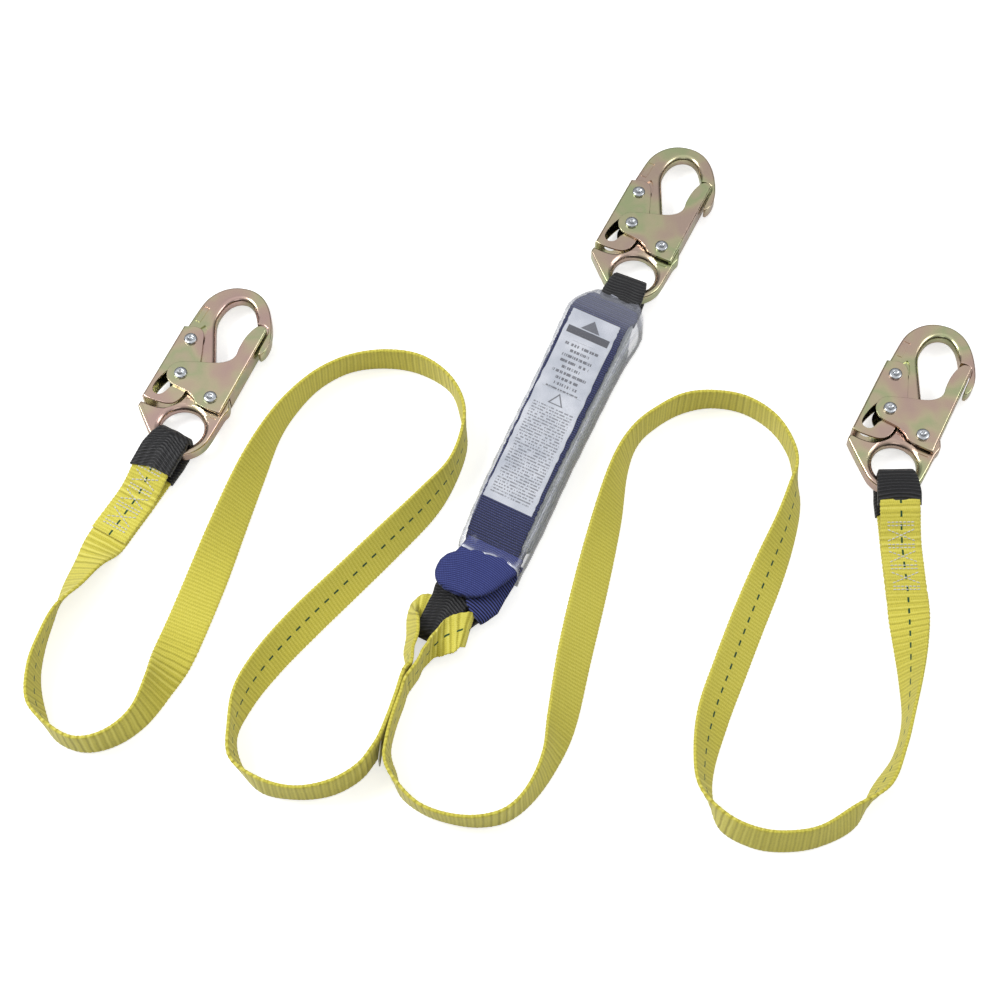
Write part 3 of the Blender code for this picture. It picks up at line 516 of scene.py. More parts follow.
def tear_look():
    """Soft pale strap: long filaments run with it, so its edge reads as smooth bands; its faces carry painted
    shade for the gaps between layers.
    """
    n = Nodes("tear_webbing_look")
    drawn = n.times(n.attribute("along"), 0.12)
    stretched = n.node("ShaderNodeCombineXYZ", i0=drawn, i1=n.attribute("across"))
    strands = n.noise(1.1, 3.0, stretched)
    fuzz = n.noise(900.0, 3.0)
    shade = n.add(n.times(strands, 0.6), n.times(fuzz, 0.4))
    colour = n.ramp(shade, (0.25, (0.44, 0.47, 0.51)), (0.5, (0.66, 0.69, 0.72)), (0.8, (0.86, 0.88, 0.90)))
    # Painted shade: the faces between the stacked layers are darkened, for the gaps where shade falls.
    painted_gap_shade = n.math("MINIMUM", n.size(n.attribute("side")), 1.0)
    colour = n.mix(n.times(painted_gap_shade, 0.5), colour, (0.14, 0.15, 0.17))
    return n.finish(colour, 0.8, n.bump(shade, 0.25, 0.7), Sheen_Weight=0.2)


def zinc_look(name, tint, seed):
    """Yellow chromate on zinc: a thin film that drifts between straw, rose and green."""
    n = Nodes(name)
    shifted = n.node("ShaderNodeVectorMath", operation="ADD", i0=n.place(), i1=(seed, seed * 0.7, seed * 0.3))
    film = n.noise(42.0, 1.5, shifted, 0.5)
    spots = n.noise(150.0, 3.0, shifted)
    film = n.scaled(n.minus(spots, 0.5), 0.12, film)
    colour = n.ramp(
        film,
        (0.32, (0.62, 0.40, 0.39)),
        (0.43, (0.66, 0.47, 0.39)),
        (0.52, (0.66, 0.59, 0.38)),
        (0.61, (0.48, 0.57, 0.30)),
        (0.72, (0.64, 0.56, 0.38)),
    )
    colour = n.mix(0.35, colour, tint)
    scuff = n.noise(420.0, 4.0, shifted, 0.65)
    colour = n.mix(n.times(n.above(scuff, 0.72), 0.3), colour, (0.25, 0.21, 0.15))
    grain = n.noise(1100.0, 2.0, shifted)
    rough = n.scaled(scuff, 0.12, 0.17)
    normal = n.bump(grain, 0.012, 0.4)
    normal = n.bump(n.noise(60.0, 1.0, shifted), 0.12, 0.4, normal)
    return n.finish(colour, rough, normal, Metallic=1.0)


def rivet_look():
    n = Nodes("rivet_look")
    marks = n.noise(500.0, 3.0)
    colour = n.ramp(marks, (0.35, (0.46, 0.48, 0.50)), (0.6, (0.62, 0.65, 0.69)))
    rough = n.scaled(marks, 0.25, 0.16)
    return n.finish(colour, rough, n.bump(marks, 0.008, 0.4), Metallic=1.0)


def spring_look():
    n = Nodes("spring_look")
    marks = n.noise(700.0, 2.0)
    colour = n.ramp(marks, (0.3, (0.16, 0.15, 0.14)), (0.7, (0.38, 0.37, 0.35)))
    return n.finish(colour, n.scaled(marks, 0.2, 0.25), n.bump(marks, 0.02), Metallic=1.0)


def thread_look(name, pale, dark):
    n = Nodes(name)
    twist = n.noise(1500.0, 2.0)
    colour = n.ramp(twist, (0.3, dark), (0.7, pale))
    return n.finish(colour, 0.6, n.bump(twist, 0.05), Sheen_Weight=0.3)


def mesh_of(name, verts, faces):
    mesh = bpy.data.meshes.new(name)
    mesh.from_pydata([tuple(v) for v in verts], [], faces)
    work = bmesh.new()
    work.from_mesh(mesh)
    bmesh.ops.recalc_face_normals(work, faces=work.faces)
    work.to_mesh(mesh)
    work.free()
    return mesh


def around(size, low, high):
    """Quads that join one ring of points to another; low and high are their first points."""
    return [[low + k, low + (k + 1) % size, high + (k + 1) % size, high + k] for k in range(size)]


def stacked(size, rings, first=0):
    """The quads between rings of points stored one after another."""
    return [quad for r in range(rings - 1) for quad in around(size, first + r * size, first + (r + 1) * size)]


def capped(size, rings, first=0):
    """Stacked rings with both ends closed."""
    last = first + (rings - 1) * size
    ends = [list(range(first, first + size)), list(range(last, last + size))[::-1]]
    return stacked(size, rings, first) + ends


def two_skins(size, rings):
    """An outer skin, an inner skin turned round, and the rims that join them at both ends."""
    faces = stacked(size, rings) + [quad[::-1] for quad in stacked(size, rings, rings * size)]
    for r in (0, rings - 1):
        faces += around(size, r * size, (rings + r) * size)
    return faces


def stored(mesh, look, sharp=40.0):
    """The mesh moved from the floor plan to its place, in metres, with its material."""
    mesh.transform(Matrix.Scale(MM, 4) @ Matrix.Translation((-ORIGIN_X, -ORIGIN_Y, 0.0)))
    mesh.materials.clear()
    mesh.materials.append(look)
    mesh.shade_smooth()
    mesh.set_sharp_from_angle(angle=math.radians(sharp))
    return mesh


def piece(name, mesh, body, stands_for=()):
    obj = in_scene(name, mesh)
    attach(obj, body)
    if stands_for:
        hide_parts(*stands_for)
    return obj


def lay(mesh):
    """A piece of the lanyard body for the CAD node whose name starts the mesh's name."""
    return piece(mesh.name, mesh, "lanyard", (mesh.name.rpartition("_")[0],))


def give(mesh, **layers):
    """Per-point numbers that the materials read."""
    for name, values in layers.items():
        mesh.attributes.new(name, "FLOAT", "POINT").data.foreach_set("value", values)


def smoothed(route, step):
    """Close stations along a route: centre, width direction, face direction, width share, distance."""
    spots = [spot["at"] for spot in route]
    widths = width_vectors(route)
    shares = [spot["width"] for spot in route]
    raw = []
    for i in range(len(route) - 1):
        count = max(1, round((spots[i + 1] - spots[i]).length / step))
        for k in range(count + (i == len(route) - 2)):
            t = k / count
            share = shares[i] * (1 - eased(t)) + shares[i + 1] * eased(t)
            raw.append((spline(spots, i, t), spline(widths, i, t), share))
    found = []
    distance = 0.0
    for i, (point, wide, share) in enumerate(raw):
        ahead = (raw[min(i + 1, len(raw) - 1)][0] - raw[max(i - 1, 0)][0]).normalized()
        wide = wide.normalized()
        if i:
            distance += (point - raw[i - 1][0]).length
        found.append((point, wide, wide.cross(ahead).normalized(), share, distance))
    return found


def bend_at(stations, i, reach=6):
    """Curvature of the strap's face near station i, 0 straight to 1 a tight turn."""
    a = stations[max(i - reach, 0)]
    b = stations[min(i + reach, len(stations) - 1)]
    run = max(b[4] - a[4], 0.1)
    turn = a[2].angle(b[2], 0.0) / run
    return min(1.0, turn * BEND_RADIUS)


# A strap's cross-section: (share of half width, share of half thickness, side), anticlockwise.
SECTION = [(x, 1.0, 1.0) for x in (0.96, 0.8, 0.6, 0.4, 0.2, 0.0, -0.2, -0.4, -0.6, -0.8, -0.96)]
SECTION += [(-0.99, 0.7, 0.0), (-1.0, 0.0, 0.0), (-0.99, -0.7, 0.0)]
SECTION += [(-x, -lift, -side) for x, lift, side in SECTION]


def ribbon(name, runs, width, thick, look, curl=0.0, pucker=0.0, row=2.4, plain=math.inf):
    """Straps with rounded selvedges, one for each run of stations.

    pucker raises rows at a bend, curl arches the face, and past plain the strap shows no tracer.
    """
    verts, faces, along, across, side, gathers = [], [], [], [], [], []
    for stations in runs:
        first = len(verts)
        for i, (centre, wide, face, share, distance) in enumerate(stations):
            bend = bend_at(stations, i)
            wave = math.sin(math.tau * distance / (row * 1.9) + 1.0)
            for x, b, s in SECTION:
                offset = x * width * share / 2
                lift = b * thick / 2 + curl * (x * x - 0.33)
                lift += s * pucker * bend * wave * (0.6 + 0.4 * math.cos(x * 5 + distance * 0.9))
                slip = 0.25 * math.sin(math.tau * distance / row) if abs(x) > 0.98 else 0.0
                verts.append(centre + wide * (offset + slip * x) + face * lift)
                along.append(distance)
                across.append(offset)
                side.append(s if distance < plain else 0.0)
                gathers.append(bend)
        faces += capped(len(SECTION), len(stations), first)
    mesh = mesh_of(name, verts, faces)
    give(mesh, along=along, across=across, side=side, gather=gathers)
    return stored(mesh, look)


def between(rows, y):
    """The row of numbers at y, eased between the rows given; the first number of a row is its y."""
    i = next((k for k in range(len(rows) - 2) if y <= rows[k + 1][0]), len(rows) - 2)
    t = clamped((y - rows[i][0]) / (rows[i + 1][0] - rows[i][0]))
    return [a + (b - a) * t for a, b in zip(rows[i], rows[i + 1])]


def pillow(name, rows, half, look, step=0.6, tilt=0.0):
    """A soft folded pad with rounded rims and a slit all round.

    rows are (y, left, right, height) in the pack's plan, and half is half its thickness.
    """
    low, high = rows[0][0], rows[-1][0]
    count = round((high - low) / step)
    size = 48
    verts, along, across, side, gathers = [], [], [], [], []
    for r in range(count + 1):
        y = low + (high - low) * r / count
        _, left, right, level = between(rows, y)
        end = min(1.0, (y - low + 0.15) / (half * 1.1))
        thin = half * math.sqrt(max(0.02, 1 - (1 - end) ** 2))
        for k in range(size):
            turn = math.tau * k / size
            cx, cz = math.cos(turn), math.sin(turn)
            flat = math.copysign(abs(cx) ** 0.42, cx)
            full = math.copysign(abs(cz) ** 0.75, cz)
            slit = 0.7 if abs(cz) < 0.1 else 0.0
            x = (left + right) / 2 + flat * ((right - left) / 2 - slit)
            wave = 0.12 * math.sin(y * 0.9 + x * 0.2) + 0.1 * math.sin(x * 0.5 + 1.3)
            gx, gy = on_plan(PACK, x, y)
            verts.append((gx, gy, level + full * thin + wave - tilt * flat))
            along.append(y + 0.012 * x * x)
            across.append(x)
            side.append(1.0 if cz > 0 else -1.0)
            # gather here marks the pad's rims and its folded end, where the material paints shade in ribs.
            gathers.append(max(0.0, 1.0 - 1.5 * abs(cz)) + 0.8 * max(0.0, 1.0 - (y - low) / 3.5))
    mesh = mesh_of(name, verts, capped(size, count + 1))
    give(mesh, along=along, across=across, side=side, gather=gathers)
    return stored(mesh, look, sharp=80.0)


def tube_section(steps, half_wide, half_thick, corner):
    """Points of a flat tube's outline: (across, lift) in millimetres."""
    found = []
    for sx, sz, start in ((1, 1, 0), (-1, 1, 90), (-1, -1, 180), (1, -1, 270)):
        middle = (sx * (half_wide - corner), sz * (half_thick - corner))
        found += [(x, z) for x, z, _ in arc(middle, corner, start, start + 90.0, steps, 0.0)]
    dense = []
    for i, (x, z) in enumerate(found):
        nx, nz = found[(i + 1) % len(found)]
        parts = max(1, round(math.hypot(nx - x, nz - z) / 2.2))
        dense += [(x + (nx - x) * k / parts, z + (nz - z) * k / parts) for k in range(parts)]
    return dense


def sleeve(name, stations, look, shape=None, row=2.1, chevron=0.0):
    """An open-ended ribbed tube round a strap.

    shape(distance share, across, lift) gives an extra push: (along, lift).
    """
    grow = SLEEVE_GAP + SLEEVE_WALL
    total = stations[-1][4] - stations[0][4]
    section = tube_section(3, LEG_WIDTH / 2 + grow, WEB_THICK / 2 + grow, 1.3)
    verts, along, across = [], [], []
    for shell in (0, 1):
        pull = grow - SLEEVE_GAP if shell else 0.0
        for centre, wide, face, share, distance in stations:
            t = (distance - stations[0][4]) / total
            ahead = face.cross(wide)
            rib = 0.0 if shell else 0.16 * math.sin(math.tau * distance / row)
            for x, z in section:
                px = x * share * (1 - pull / (LEG_WIDTH / 2 + grow))
                pz = z * (1 - pull / (WEB_THICK / 2 + grow)) + rib * ((z > 1) - (z < -1))
                push, lift = shape(t, x, z) if shape else (0.0, 0.0)
                verts.append(centre + wide * px + face * (pz + lift) + ahead * push)
                along.append(distance + chevron * abs(x))
                across.append(x)
    mesh = mesh_of(name, verts, two_skins(len(section), len(stations)))
    give(mesh, along=along, across=across)
    return stored(mesh, look, sharp=60.0)


def stitches(name, surface, paths, look, length=2.6, thick=0.32):
    """Rows of short raised thread stitches. surface(u, v) gives (point, direction along, direction up)."""
    verts, faces = [], []
    for path in paths:
        for (u0, v0), (u1, v1) in zip(path, path[1:]):
            run = math.hypot(u1 - u0, v1 - v0)
            count = max(1, round(run / length))
            for k in range(count):
                a, b = (k + 0.08) / count, (k + 0.88) / count
                p, up = surface(u0 + (u1 - u0) * a, v0 + (v1 - v0) * a)
                q, _ = surface(u0 + (u1 - u0) * b, v0 + (v1 - v0) * b)
                ahead = (q - p).normalized()
                side = ahead.cross(up).normalized()
                first = len(verts)
                for t, scale in ((0.0, 0.45), (0.2, 1.0), (0.8, 1.0), (1.0, 0.45)):
                    centre = p.lerp(q, t) + up * (thick * 0.5 * (scale if scale < 1 else 1.15))
                    for m in range(6):
                        turn = math.tau * m / 6
                        around_thread = side * math.cos(turn) * 1.25 + up * math.sin(turn)
                        verts.append(centre + around_thread * thick * scale)
                faces += capped(6, 4, first)
    return stored(mesh_of(name, verts, faces), look, sharp=80.0)


def on_strap(stations, start, thick):
    """Maps (distance from start, offset across) to a strap's upper face: a point and the normal there."""

    def surface(u, v):
        distance = start + u
        centre, wide, face, _, here = min(stations, key=lambda s: abs(s[4] - distance))
        ahead = face.cross(wide)
        return centre + wide * v + ahead * (distance - here) + face * (thick / 2), face

    return surface


def box_stitch_paths(start, blocks, half):
    """Bar, X, bar pattern of a sewn end: (distance, across) corners."""
    paths = []
    u = start
    pitch = 2.2
    for length in (*blocks, None):
        paths += [[(bar, -half), (bar, half)] for bar in (u, u + pitch)]
        if length is not None:
            paths += [[(u + 2 * pitch, -side), (u + length, side)] for side in (half, -half)]
            u += length + pitch
    return paths


def eased_neck(stations, low, high):
    """The two strands below the choke, between those distances, drawn into one slanting line."""
    found = []
    for centre, wide, face, share, distance in stations:
        rise = clamped((NECK_TOP - centre.y) / NECK_RISE)
        fall = clamped((centre.y - NECK_FOOT) / NECK_FALL)
        push = NECK_PUSH * eased(rise) * fall if low < distance < high else 0.0
        found.append((centre + Vector((push, 0.0, 0.0)), wide, face, share, distance))
    return found


def tag_look():
    n = Nodes("inspection_tag_look")
    grain = n.noise(260.0, 3.0)
    colour = n.ramp(grain, (0.35, (0.50, 0.50, 0.50)), (0.65, (0.66, 0.66, 0.65)))
    return n.finish(colour, 0.55, n.bump(grain, 0.06))


def add_tag():
    """The card held between the two strands where they part."""
    corners = [(-0.3, -6.0), (0.3, -6.0), (0.3, 6.0), (-0.3, 6.0)]
    levels = [(6.0, 0.7), (7.5, 1.0), (18.5, 1.0), (20.0, 0.7)]
    verts = [(x * 1.1, y * share, z) for z, share in levels for x, y in corners]
    mesh = mesh_of("inspection_tag_card", verts, capped(4, len(levels)))
    mesh.transform(Matrix.Translation((-69.2, -173.0, 0.0)) @ Matrix.Rotation(math.radians(-6.0), 4, "Z"))
    return lay(stored(mesh, tag_look()))


def add_legs():
    tones = ((0.36, 0.31, 0.03), (0.72, 0.65, 0.09), (0.92, 0.86, 0.24))
    yellow = webbing_look("yellow_webbing_look", tones, 2.3, (0.01, 0.07, 0.03), 0.27)
    left = smoothed(left_hook_end() + leg_stations(LEFT_RUN) + choke_in(), STRAP_STEP)
    right = smoothed(choke_out() + leg_stations(RIGHT_RUN) + right_hook_end()[::-1], STRAP_STEP)
    left = eased_neck(left, left[-1][4] - NECK_LENGTH, left[-1][4])
    right = eased_neck(right, 0.0, NECK_LENGTH)
    # The left leg shows its unmarked side once it has turned over at the choke.
    unmarked = left[-1][4] - TURNED_OVER
    # The right leg's stitching lies between its last bend and the turn round the eye.
    right_sewn = right[-1][4] - RIGHT_SEWN
    white = thread_look("white_thread_look", (0.82, 0.82, 0.78), (0.5, 0.5, 0.45))
    held = (add_tag(),)
    for which, stations, plain in (("left", left, unmarked), ("right", right, math.inf)):
        name = f"{which}_leg_webbing_woven"
        mesh = ribbon(name, [stations], LEG_WIDTH, WEB_THICK, yellow, 0.12, 0.22, 1.4, plain)
        leg = lay(mesh)
        path = [((s[0] - Vector((ORIGIN_X, ORIGIN_Y, 0.0))) * MM)[:] for s in stations[::4] + stations[-1:]]
        if which == "left":
            path = path[::-1]
        held = ()
    for which, stations, start, first_bar in (("left", left, 0.0, 6.0), ("right", right, right_sewn, 2.0)):
        paths = box_stitch_paths(first_bar, (12.0, 12.0, 12.0), 8.5)
        mesh = stitches(f"{which}_stitching", on_strap(stations, start, WEB_THICK), paths, white)
        piece(mesh.name, mesh, "lanyard")


def towards_ends(t):
    """0 at the middle of a sleeve, -1 and 1 at its two ends."""
    return (abs(t - 0.5) * 2) ** 2 * (1 if t > 0.5 else -1)


def add_sleeves(black):
    def creased(t, x, _):
        slant = 2.0 * abs(x) / 13.0 - 0.16 * x
        return slant * towards_ends(t), max(0.0, 0.5 * (1 - abs(x) / 6.0))

    def level(t, x, _):
        return (2.6 * (abs(x) / 13.0) ** 2 - 1.2) * towards_ends(t), 0.0

    ends = (
        ("left", (33.0, 13.6), (33.0, RING_LOW - 0.3), creased, 0.45),
        ("right", (30.0, RING_LOW - 0.2), (27.5, 13.6), level, 0.0),
    )
    for which, first, last, shape, chevron in ends:
        loop = eye_loop(which, which == "left")
        stations = smoothed([strap_station(which, *first), *loop, strap_station(which, *last)], SLEEVE_STEP)
        lay(sleeve(f"{which}_wear_sleeve_ribbed", stations, black, shape, 2.1, chevron))


# Plan outlines of the two folded pads at the pack's lower end: (along, left, right, height).
UPPER_FOLD = [(-135.9, -13.0, -7.0, 19.2), (-135.2, -15.0, -2.5, 19.4), (-134.2, -18.3, 1.2, 19.6)]
UPPER_FOLD += [(-132.6, -20.9, 5.2, 19.8), (-130.5, -22.6, 8.2, 20.0), (-127.9, -23.9, 11.3, 20.1)]
UPPER_FOLD += [(-124.0, -24.6, 13.8, 20.2), (-120.0, -24.6, 15.8, 20.3), (-114.7, -22.7, 18.1, 20.4)]
UPPER_FOLD += [(-110.7, -19.0, 19.8, 20.4), (-107.0, -18.0, 21.0, 20.4), (-98.0, -17.0, 20.5, 20.4)]
LOWER_FOLD = [(-142.2, 13.0, 14.6, 10.6), (-141.0, 9.8, 15.6, 10.9), (-138.5, 5.0, 17.2, 11.4)]
LOWER_FOLD += [(-135.6, 1.3, 18.8, 12.0), (-131.5, -1.0, 20.9, 12.8), (-122.4, -2.0, 20.9, 13.9)]
LOWER_FOLD += [(-112.0, -2.0, 21.4, 14.6), (-99.0, 0.0, 21.0, 15.0)]


# The face strap's plan edges: (along, left, right, height).
FACE = [(-104.0, -15.5, 17.6, 18.6), (-97.0, -18.6, 17.2, 20.6), (-86.0, -21.2, 15.6, 21.8)]
FACE += [(-68.0, -23.4, 13.9, 22.0), (-34.5, -26.6, 11.2, 22.0), (4.0, -29.6, 8.9, 22.0)]
FACE += [(53.5, -34.2, 6.0, 22.0), (76.0, -36.2, 4.0, 22.0), (83.0, -36.0, 4.4, 21.6)]
FACE += [(88.0, -34.8, 6.8, 20.8), (93.5, -32.0, 5.4, 19.2), (97.5, -28.6, -0.4, 17.6)]


def add_pack(black):
    """Load webbing, the sleeve at its hook, and the two folded pads; it gives back the navy look."""
    tones = ((0.002, 0.003, 0.012), (0.016, 0.021, 0.085), (0.07, 0.085, 0.24))
    navy = webbing_look("navy_webbing_look", tones, 1.65, None, 0.75, 0.04, 0.3)
    tones = ((0.008, 0.011, 0.06), (0.032, 0.043, 0.19), (0.085, 0.11, 0.35))
    lobe = webbing_look("blue_fold_look", tones, 1.3, None, 0.6, 0.08, 0.25)
    tones = ((0.001, 0.002, 0.01), (0.02, 0.028, 0.13), (0.07, 0.09, 0.31))
    ribbed = webbing_look("ribbed_fold_look", tones, 1.75, None, 1.1, 0.05, 0.05)
    upper = [pack_station((left + right) / 2, y, z, (right - left) / LEG_WIDTH) for y, left, right, z in FACE]
    out, back = strap_station("top", 30.0, RING_HIGH + 0.5), strap_station("top", 33.0, RING_LOW)
    loop = [out, *eye_loop("top", True), back]
    spots = ((-13.0, 78), (-9.5, 30), (-4.2, -30), (0.5, -80), (1.5, -92))
    lower = [pack_station(x, y, BACK_Z, 1.2) for x, y in spots]
    stations = smoothed(upper + loop + lower, STRAP_STEP)
    lay(ribbon("load_webbing_woven", [stations], LEG_WIDTH, WEB_THICK, navy, 0.0, 0.1, 1.0))

    def creased(t, x, _):
        end = (abs(t - 0.5) * 2) ** 2
        return 0.7 * math.sin(x * 0.3 + 1.0) * end, 0.35 * math.sin(x * 0.55 + t * 9.0) * end

    lay(sleeve("top_wear_sleeve_ribbed", smoothed(loop, SLEEVE_STEP), black, creased))
    lay(pillow("upper_webbing_fold_woven", UPPER_FOLD, 2.5, lobe))
    lay(pillow("lower_webbing_fold_woven", LOWER_FOLD, 2.0, ribbed, tilt=2.2))
    return navy


def add_choke_loop(black, navy):
    """The strap loop that the legs are choked through: out on top, round its end, and back underneath."""
    high, low = 10.3, 2.6
    rising = ((-1, -96, 9.4), (-3.5, -106, 9.6), (-6, -118, 10.0), (-8, -130, high))
    route = [pack_station(*spot) for spot in rising]
    route += [pack_station(x, y, high, 0.84) for x, y in ((-8.6, -140), (-8.2, -149), (-7.6, -155.5))]
    route += [pack_station(*spot, 0.84) for spot in fold_over(-7.4, -159.4, 3.85, high, low)]
    route += [pack_station(x, y, low, 0.86) for x, y in ((-6.6, -155.5), (-4.4, -149), (-1.2, -141))]
    route += [pack_station(x, y, low) for x, y in ((2.4, -132), (4, -118), (5, -106), (5, -96))]
    stations = smoothed(route, 0.6)
    mesh = ribbon("choke_loop_webbing_woven", [stations], LEG_WIDTH, WEB_THICK, navy, 0.0, 0.0, 1.0)
    lay(mesh)
    bare = 14.0
    inside = [s for s in stations if bare < s[4] < stations[-1][4] - bare]
    lay(sleeve("choke_loop_sleeve_ribbed", inside, black, None, 2.0, -0.4))


def add_tear():
    """Absorber core: soft strap layers, each a little further out than the one above, with rounded ends."""
    runs = []
    rows, corner = 60, 8.0
    for layer in range(TEAR_LAYERS):
        down = TEAR_LAYERS - 1 - layer
        z = TEAR_FLOOR + layer * TEAR_PITCH
        low, high = -92.0 + 1.2 * down, 90.0 - 2.6 * down
        route = []
        for k in range(rows + 1):
            t = 0.5 - 0.5 * math.cos(math.pi * k / rows)
            y = low + (high - low) * t
            face = between(FACE, y)
            step = 0.62 + 0.5 * max(0.0, -y - 40) / 50
            edge = max(face[2], 11.6 - 0.05 * y) - 1.5 + step * down + 0.2 * math.sin(y * 0.11 + layer)
            gap = max(0.0, min(high - y, (y - low) * 1.6))
            if gap < corner:
                edge -= corner - math.sqrt(corner**2 - (corner - gap) ** 2)
            left = face[1] + 1.0
            height = z + 0.1 * math.sin(k * 0.7 + layer)
            route.append(pack_station((left + edge) / 2, y, height, (edge - left) / LEG_WIDTH))
        runs.append(smoothed(route, 1.6))
    lay(ribbon("tear_webbing_fuzzy", runs, LEG_WIDTH, TEAR_THICK - 0.1, tear_look()))


def vinyl_look():
    """Clear film: nearly see-through, with painted highlights in noise streaks and where its edge attribute
    rises, and dark where its rim attribute is set.
    """
    n = Nodes("clear_vinyl_look")
    painted_streaks = n.ramp(n.noise(60.0, 4.0, rough=0.6), (0.64, 0.0), (0.74, 0.10))
    edge = n.attribute("edge")
    rim = n.attribute("rim")
    # Painted highlights: the streaks and the edge attribute make the film whiter and less clear, in place of
    # its reflections.
    alpha = n.add(n.scaled(edge, 0.8, 0.012), painted_streaks)
    alpha = n.most(alpha, n.times(rim, 0.5))
    colour = n.mix(rim, (0.72, 0.75, 0.88), (0.16, 0.17, 0.20))
    normal = n.bump(n.noise(38.0, 1.0), 0.5, 0.35)
    return n.finish(colour, 0.1, normal, Alpha=alpha, Coat_Weight=0.6, Coat_Roughness=0.04)


# Plan outline of the film: (along, left, right, upper wall's height, painted sheen).
FILM = [(-105.5, -18.6, 20.8, 22.2, 0.2), (-103.5, -19.8, 20.6, 23.0, 0.03), (-98.0, -20.8, 20.1, 24.0, 0.0)]
FILM += [(-85.0, -22.4, 19.6, 24.4, 0.0), (-64.0, -25.0, 18.4, 24.4, 0.0), (-44.5, -26.9, 16.6, 24.4, 0.0)]
FILM += [(-22.0, -28.9, 14.8, 24.4, 0.0), (0.0, -30.6, 13.6, 24.4, 0.0), (20.0, -32.2, 12.5, 24.4, 0.0)]
FILM += [(40.0, -34.0, 11.4, 24.4, 0.0), (58.0, -36.0, 10.6, 24.4, 0.0), (73.0, -37.8, 10.9, 24.3, 0.03)]
FILM += [(79.4, -38.0, 11.3, 24.0, 0.08), (84.0, -37.4, 11.4, 23.4, 0.12), (88.6, -36.0, 10.8, 22.4, 0.13)]
FILM += [(93.0, -34.2, 9.2, 21.2, 0.14), (97.0, -31.8, 6.8, 19.9, 0.18), (100.0, -28.8, 4.0, 18.9, 0.22)]
FILM += [(102.4, -25.0, 0.5, 18.0, 0.3)]


def add_cover():
    """Clear sleeve over the pack, open at both ends."""
    rows = 150
    section = []
    for side, up, start in ((1, 0, -90), (1, 1, 0), (-1, 1, 90), (-1, 0, 180)):
        for k in range(5):
            turn = math.radians(start + 22.5 * k)
            section.append((side, up, math.cos(turn), math.sin(turn), side))
        if (side, up) == (1, 1):
            section += [(1 - k / 6, 1, 0.0, 1.0, 0) for k in range(1, 12)]
    verts, painted_highlights, rims = [], [], []
    for grow in (COVER_WALL, 0.0):
        for r in range(rows + 1):
            y = FILM[0][0] + (FILM[-1][0] - FILM[0][0]) * r / rows
            _, left, right, high, painted_sheen = between(FILM, y)
            x, half, corner = (left + right) / 2, (right - left) / 2, 2.6
            lip = max(0.0, 1 - (y - FILM[0][0]) / 5.0) + max(0.0, 1 - (FILM[-1][0] - y) / 4.0)
            for k, (side, up, cx, cz, rim) in enumerate(section):
                px = x + side * (half - corner) + (corner + grow) * cx
                pz = (high - corner if up else COVER_WALL + corner) + (corner + grow) * cz
                wave = 0.22 * math.sin(y * 0.31 + k * 1.1) + 0.12 * math.sin(y * 0.83 + k * 2.3)
                slope = 1.6 * math.sin(px * 0.16 + 0.5) * min(1.0, lip)
                gx, gy = on_plan(PACK, px + wave * 0.5 * rim, y + slope)
                verts.append((gx, gy, pz + (wave + 0.8 * lip * math.sin(px * 0.4 + 1.0) if up else 0.0)))
                # edge: painted sheen towards the shoulders, a painted glint along the upper corners, and a
                # painted highlight along the open ends' lips.
                painted_corner_glint = 0.2 if rim and up and 0.3 < cz < 0.99 else 0.0
                share = 1.0 if up else 0.3
                painted_highlights.append(max(painted_sheen * share, painted_corner_glint, 1.0 if lip > 0.78 and up else 0.0))
                line = (rim < 0 and up and cx < -0.9) or (rim > 0 and not up and cx > 0.35)
                rims.append(1.0 if line else 0.0)
    mesh = mesh_of("clear_cover_film", verts, two_skins(len(section), rows + 1))
    give(mesh, edge=painted_highlights, rim=rims)
    lay(stored(mesh, vinyl_look(), sharp=50.0))


def label_look():
    """Label stock with a generic heading block and rows of unreadable grey marks."""
    n = Nodes("instruction_label_look")
    along, across = n.attribute("along"), n.attribute("across")
    large = n.above(along, 88.0)
    lines = n.over(along, n.scaled(large, 2.2, 2.1))
    number = n.math("FLOOR", lines)
    inked = n.within(n.math("FRACT", lines), 0.24, 0.5)
    seed = n.node("ShaderNodeCombineXYZ", i0=n.times(across, 1.1), i1=n.times(number, 7.3))
    words = n.above(n.noise(1.0, 2.0, seed), 0.46)
    short = n.times(large, n.scaled(n.math("SINE", n.times(number, 2.4)), 2.6, 4.6))
    margin = n.within(across, n.minus(13.8, short))
    body = n.times(n.within(along, 61.0, 65.0), n.above(n.size(n.minus(along, 81.5)), 6.0))
    text = n.times(n.times(inked, words), n.times(margin, body))

    def triangle(apex, foot, slope):
        inside = n.below(n.size(across), n.times(n.minus(apex, along), slope))
        return n.times(inside, n.above(along, foot))

    sign = n.minus(triangle(86.4, 77.4, 0.58), triangle(84.6, 78.2, 0.58))
    band = n.times(n.within(along, 2.8, 133.0), n.within(across, 14.6))
    heading = n.most(n.times(band, 0.9), n.times(triangle(145.0, 136.6, 0.8), 0.8))
    text = n.most(n.times(text, n.scaled(large, 0.13, 0.62)), n.times(sign, 0.75))
    ink = n.most(text, heading)
    grain = n.noise(60.0, 3.0)
    paper = n.ramp(grain, (0.3, (0.50, 0.53, 0.60)), (0.7, (0.70, 0.72, 0.78)))
    colour = n.mix(ink, paper, (0.05, 0.05, 0.06))
    return n.finish(colour, 0.4, n.bump(n.noise(200.0), 0.05), Specular_IOR_Level=0.4)


def add_labels():
    spots = ((-5.0, -70.0), (-8.4, -30.0), (-13.2, 30.0), (-16.9, 78.0))
    route = [pack_station(x, y, FACE_Z + WEB_THICK / 2 + LABEL_LIFT) for x, y in spots]
    stations = smoothed(route, 2.0)
    lay(ribbon("instruction_label_printed", [stations], LABEL_WIDTH, LABEL_THICK, label_look()))


